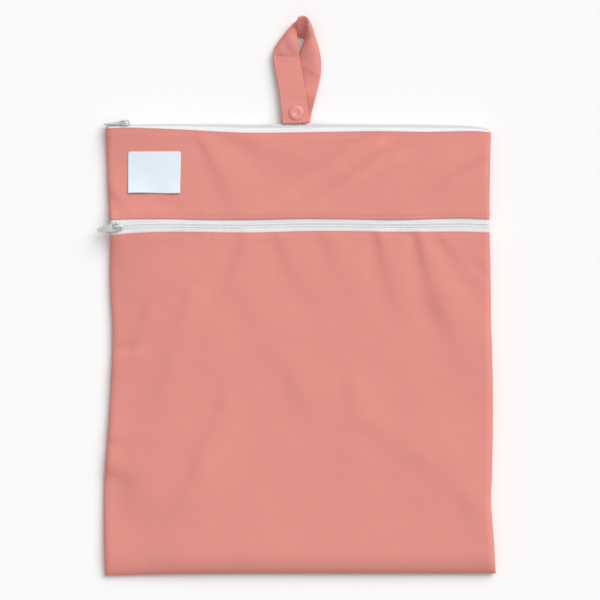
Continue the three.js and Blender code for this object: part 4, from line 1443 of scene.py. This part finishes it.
@dataclass
class SnapFastener:
    """The snap at the strap's foot: a domed cap over the front leg and another under the rear leg."""

    form: BagForm
    diameter: float = 12.4
    cap: float = 1.3
    post: float = 2.0
    span: float = 3.2
    from_top: float = 8.6
    strap_wall: float = 1.4
    offset: float = -2.4

    def turned(self, profile: Sequence[tuple[float, float]], sides: int = 48) -> tuple[np.ndarray, list]:
        """A round shape from its half section.

        Args:
            profile: Radius and height of each ring, from the top middle to the bottom middle.
            sides: How many sides it has.

        Returns:
            The points and the faces.
        """
        turn = 2 * math.pi * np.arange(sides) / sides
        x0, y0 = self.offset, self.form.top + self.from_top
        points = [(x0 + r * math.cos(a), y0 + r * math.sin(a), z) for r, z in profile[1:-1] for a in turn]
        rings = len(profile) - 2
        faces = [(i * sides + k, (i + 1) * sides + k, (i + 1) * sides + (k + 1) % sides,
                  i * sides + (k + 1) % sides) for i in range(rings - 1) for k in range(sides)]
        points += [(x0, y0, profile[0][1]), (x0, y0, profile[-1][1])]
        first, last = rings * sides, rings * sides + 1
        faces += [(first, k, (k + 1) % sides) for k in range(sides)]
        faces += [(last, (rings - 1) * sides + (k + 1) % sides, (rings - 1) * sides + k) for k in range(sides)]
        return np.array(points), faces

    def make(self) -> None:
        """Makes both halves of the snap."""
        radius, post = self.diameter / 2, self.post
        under = STRAP["base"][-1] * self.strap_wall - self.strap_wall / 2
        seat = under + self.strap_wall + self.form.gap
        top = seat + self.cap
        foot = under - self.span / 2
        socket = radius * 0.84
        front = [(0, top - 0.62), (1.0, top - 0.54), (1.8, top - 0.35), (2.5, top - 0.13), (3.1, top - 0.02),
                 (3.7, top), (4.4, top - 0.06), (5.0, top - 0.21), (5.6, top - 0.50), (6.0, top - 0.85),
                 (6.2, seat + 0.06), (6.05, seat), (5.6, seat - 0.02), (post, seat), (post, under - 0.35),
                 (socket - 0.3, under - 0.35), (socket, under - 0.6), (socket, foot + 0.3),
                 (socket - 0.3, foot), (2.4, foot), (2.0, foot + 0.5), (0, foot + 0.5)]
        rear_top = STRAP["base"][1] * self.strap_wall + self.strap_wall / 2
        rear_seat = rear_top - self.strap_wall - self.form.gap
        base = self.form.gap / 3
        stud = rear_top + self.form.gap
        back = [(0, stud + 0.8), (1.6, stud + 0.8), (2.0, stud + 0.6), (2.1, stud + 0.5), (4.6, stud + 0.5),
                (4.9, stud + 0.35), (4.9, stud + 0.1), (4.6, stud), (post, stud), (post, rear_seat),
                (5.9, rear_seat), (6.2, rear_seat - 0.15), (6.15, base + 0.4), (5.6, base + 0.1), (4.5, base),
                (2.5, base), (0, base + 0.1)]
        for name, profile in (("snap_front_half", front), ("snap_back_half", back)):
            half = mesh_object(f"{name}_cap", *self.turned(profile))
            keep(half, SNAP, instead_of=(name,))


@dataclass
class NameLabel:
    """The satin label, sewn flat at its top and sides and lifting a little along its bottom edge."""

    form: BagForm
    width: float = 42
    height: float = 33.3
    from_edge: float = 16.8
    from_top: float = 22
    wall: float = 0.4

    def face(self, height: float) -> np.ndarray:
        """A grid of points on one face of the label.

        Args:
            height: How far it lies above the label's underside.

        Returns:
            Rows by columns of points.
        """
        form = self.form
        u = np.linspace(0, 1, 64)[None, :]
        v = np.linspace(0, 1, 52)[:, None]
        top = form.top - self.from_top
        left = form.edge(Side.LEFT, top) + self.from_edge
        x = left + u * self.width * mix(0.982, 1.0, v)
        x = x + 0.8 * (0.5 - u) * 2 * bell((1 - v) * self.height - 0.4, 0.7) * (np.abs(u - 0.5) > 0.42)
        dip = 0.35 * np.sin(u * 5.2 + 0.4) + 0.25 * u
        y = top - (1 - v) * (self.height - 0.3) + dip * (1 - v) ** 3
        free = np.clip(1 - v, 0, 1) ** 4
        lift = free * (0.75 + 0.35 * np.sin(u * 7.0 + 0.5)) + 0.12 * np.sin(u * 9 + v * 4) * (1 - v)
        z = form.seam + form.rise_at(x, y) + 0.18 + np.maximum(lift, 0) + height
        return np.stack([x + 0 * v, y + 0 * u, z], axis=-1)

    def make(self) -> None:
        """Makes the label."""
        label = cloth_object("satin_label", self.face(self.wall), self.face(0.0))
        keep(label, SATIN, instead_of=("name_label",))


@dataclass
class Slider:
    """A zip slider with its pull. The slider's frame: X along the zip, Y across, Z out of its face."""

    name: str
    body: Body
    centre: tuple[float, float, float]
    way: tuple[float, float, float]
    face: tuple[float, float, float]
    turn: float
    length: float = 8.4
    width: float = 7.0
    plate: float = 0.8
    inner: float = 1.1
    pivot: float = 3.15
    droop: float = 6.0
    pull_length: float = 16.9
    pull_wide: float = 6.8
    pull_narrow: float = 3.2
    pull_wall: float = 0.9

    def seat(self) -> Matrix:
        """The slider's place on its zip.

        Returns:
            The turn and the move from its own frame to the bag's, in millimetres.
        """
        way, face = Vector(self.way).normalized(), Vector(self.face).normalized()
        across = face.cross(way).normalized()
        turned = Matrix((way, across, face)).transposed().to_4x4()
        return Matrix.Translation(self.centre) @ turned

    @staticmethod
    def stamped(outlines: Sequence[Sequence[tuple[float, float]]], thick: float, round_by: float,
                place: Matrix) -> bpy.types.Mesh:
        """A plate cut to outlines, with rounded rims.

        Args:
            outlines: The outer outline and the holes.
            thick: The plate's thickness.
            round_by: The rounding of its rims.
            place: Where its middle plane goes, in the slider's or pull's frame.

        Returns:
            The plate as a mesh.
        """
        curve = bpy.data.curves.new("stamped", "CURVE")
        curve.dimensions, curve.fill_mode = "2D", "BOTH"
        curve.extrude, curve.bevel_depth = thick / 2 - round_by, round_by
        curve.bevel_resolution, curve.offset = 3, -round_by
        for outline in outlines:
            spline = curve.splines.new("POLY")
            spline.points.add(len(outline) - 1)
            spline.points.foreach_set("co", np.array([(*p, 0, 1) for p in outline], float).ravel())
            spline.use_cyclic_u = True
        holder = shown(bpy.data.objects.new("stamped", curve))
        depsgraph = bpy.context.evaluated_depsgraph_get()
        mesh = bpy.data.meshes.new_from_object(holder.evaluated_get(depsgraph))
        bpy.data.objects.remove(holder)
        mesh.transform(place)
        return mesh

    @staticmethod
    def softened(corners: Sequence[tuple[float, float]], radius: float, steps: int = 5) -> list[tuple]:
        """An outline with each corner rounded.

        Args:
            corners: The corners in order.
            radius: How far each corner is cut back.
            steps: How many steps go round a corner.

        Returns:
            The outline's points.
        """
        made = []
        for i, corner in enumerate(corners):
            here = np.array(corner, float)
            before, after = np.array(corners[i - 1], float), np.array(corners[(i + 1) % len(corners)], float)
            a = here + (before - here) * min(radius / np.linalg.norm(before - here), 0.48)
            b = here + (after - here) * min(radius / np.linalg.norm(after - here), 0.48)
            for t in np.linspace(0, 1, steps):
                made.append(tuple((1 - t) ** 2 * a + 2 * t * (1 - t) * here + t**2 * b))
        return made

    @staticmethod
    def mirrored(side: Sequence[tuple[float, float]]) -> list[tuple[float, float]]:
        """An outline from the half of it on one side of the middle line."""
        return [*side, *((x, -y) for x, y in reversed(side))]

    @staticmethod
    def joined(name: str, meshes: Sequence[bpy.types.Mesh], place: Matrix) -> bpy.types.Object:
        """Joins meshes into one piece with clean, outward faces.

        Args:
            name: The piece's name.
            meshes: The meshes, which are used up.
            place: Their place in the bag's frame, in millimetres.

        Returns:
            The piece, in metres.
        """
        work = bmesh.new()
        for mesh in meshes:
            work.from_mesh(mesh)
            bpy.data.meshes.remove(mesh)
        bmesh.ops.remove_doubles(work, verts=work.verts, dist=0.004)
        bmesh.ops.recalc_face_normals(work, faces=work.faces)
        work.transform(Matrix.Scale(MM, 4) @ place)
        mesh = bpy.data.meshes.new(name)
        work.to_mesh(mesh)
        work.free()
        mesh.shade_smooth()
        mesh.set_sharp_from_angle(angle=math.radians(50))
        return shown(bpy.data.objects.new(name, mesh))

    def make_body(self) -> None:
        """Makes the slider: two plates with folded lips, their neck and the bridge over them."""
        half, nose = self.width / 2, self.length / 2
        shape = self.softened(self.mirrored([(-nose, -half * 0.72), (-nose * 0.55, -half),
                                             (nose * 0.7, -half * 0.88), (nose, -half * 0.5)]), 1.2)
        middle = self.inner + self.plate / 2
        plates = [self.stamped([shape], self.plate, 0.28, Matrix.Translation((0, 0, s * middle)))
                  for s in (1, -1)]
        upright = Matrix.Rotation(math.pi / 2, 4, "X")
        rear, low, high = -nose * 0.62, 0.66, self.inner + 0.4
        strip = self.softened([(rear, low), (nose * 0.68, low), (nose * 0.68, high), (rear, high)], 0.3)
        lips = []
        for side in (1, -1):
            for up in (1, -1):
                place = Matrix.Translation((0, side * (half * 0.84 - 0.25), 0)) @ Matrix.Scale(up, 4, (0, 0, 1))
                lips.append(self.stamped([strip], 0.5, 0.12, place @ upright))
        neck = self.softened(self.mirrored([(-nose + 0.15, -1.3), (rear, -0.8)]), 0.4)
        plates.append(self.stamped([neck], 2 * self.inner + 0.6, 0.1, Matrix()))
        foot, under = 3.35, self.pivot + 0.8
        top = under + 0.8
        arch = self.softened([(-foot, 1.3), (-foot, top), (foot, top), (foot, 1.3), (foot - 0.85, 1.3),
                              (foot - 0.85, under), (-foot + 0.85, under), (-foot + 0.85, 1.3)], 0.9, 6)
        plates.append(self.stamped([arch], 2.2, 0.3, upright))
        body = self.joined(f"{self.name}_slider_body", [*plates, *lips], self.seat())
        keep(body, METAL, instead_of=(f"{self.name}_slider",))

    def make_pull(self) -> None:
        """Makes the pull: a tapering tab with a window for the bridge and a small eye at its tip."""
        wide, narrow, reach = self.pull_wide / 2, self.pull_narrow / 2, self.pull_length
        tab = self.softened([(0.5, -wide), (0.5, wide), (-5.2, wide * 0.97), (-reach, narrow),
                             (-reach, -narrow), (-5.2, -wide * 0.97)], 1.1)
        window = self.softened(self.mirrored([(-0.5, -2.1), (-4.6, -2.1)]), 0.7)
        eye = [(-reach + 2 + 0.6 * math.cos(a), 0.6 * math.sin(a)) for a in np.arange(20) * math.pi / 10]
        hinge = Matrix.Translation((0, 0, self.pivot)) @ Matrix.Rotation(math.radians(self.turn), 4, "Z")
        place = self.seat() @ hinge @ Matrix.Rotation(math.radians(-self.droop), 4, "Y")
        plate = self.stamped([tab, window, eye], self.pull_wall, 0.26, Matrix())
        pull = self.joined(f"{self.name}_pull_tab", [plate], place)
        keep(pull, METAL, self.body, instead_of=(f"{self.name}_pull",))

    def make(self) -> None:
        """Makes the slider and its pull."""
        self.make_body()
        self.make_pull()


@dataclass
class Studio:
    """The pale floor, the soft light and the camera straight above the bag."""

    centre: tuple[float, float] = (0.0004, 0.0387)
    frame_width: float = 0.474
    height: float = 2.4
    plane: float = 0.010
    floor_size: float = 8.0
    surround: float = 0.30
    sensor: float = 36.0

    def make_floor(self) -> None:
        """Makes the floor."""
        half = self.floor_size / 2
        mesh = bpy.data.meshes.new("studio_floor")
        corners = [(-half, -half, 0), (half, -half, 0), (half, half, 0), (-half, half, 0)]
        mesh.from_pydata(corners, [], [(0, 1, 2, 3)])
        floor = shown(bpy.data.objects.new("studio_floor", mesh))
        PAPER.wear(floor)

    def make_lights(self) -> None:
        """Makes the dim surround, the broad light overhead and the key light from the upper right."""
        world = bpy.data.worlds.new("studio_surround")
        world.use_nodes = True
        background = world.node_tree.nodes["Background"]
        background.inputs["Color"].default_value = (1, 1, 1, 1)
        background.inputs["Strength"].default_value = self.surround
        bpy.context.scene.world = world
        for name, place, spread, strength in (("overhead", (0.0, 0.02, 1.0), 1.7, 0.66),
                                              ("key", (0.68, 0.80, 1.0), 0.8, 2.17)):
            light = bpy.data.lights.new(name, "SUN")
            light.energy, light.angle = strength, spread
            lamp = shown(bpy.data.objects.new(name, light))
            lamp.location = place
            lamp.rotation_euler = (-Vector(place)).to_track_quat("-Z", "Y").to_euler()

    def make_camera(self) -> None:
        """Makes the camera, straight above, with the strap up in the picture."""
        camera = bpy.data.cameras.new("above")
        camera.sensor_width = self.sensor
        camera.lens = self.sensor * (self.height - self.plane) / self.frame_width
        eye = shown(bpy.data.objects.new("above", camera))
        eye.location = (*self.centre, self.height)
        bpy.context.scene.camera = eye
        bpy.context.scene.view_settings.view_transform = "Standard"

    def make(self) -> None:
        """Makes the whole studio."""
        self.make_camera()
        self.make_floor()
        self.make_lights()


def main() -> None:
    """Builds the studio and then each part of the bag, and reports them."""
    logging.basicConfig(level=logging.INFO, format="%(name)s %(message)s")
    Studio().make()
    form = BagForm()
    for part in (BackPanel, FrontPanels, FrontZip, MouthZip, HangingStrap, SnapFastener, NameLabel):
        part(form).make()
    Slider("front", Body.FRONT_PULL, centre=(-142.994, 96.689, 10.719), way=(0.9981, 0.0624, 0.0),
           face=(0.0, 0.0, 1.0), turn=7.5).make()
    Slider("top", Body.TOP_PULL, centre=(-138.063, 176.435, 6.302), way=(1.0, 0.0071, -0.006),
           face=(-0.0051, 0.9567, 0.2912), turn=0.0).make()


if __name__ == "__main__":
    main()
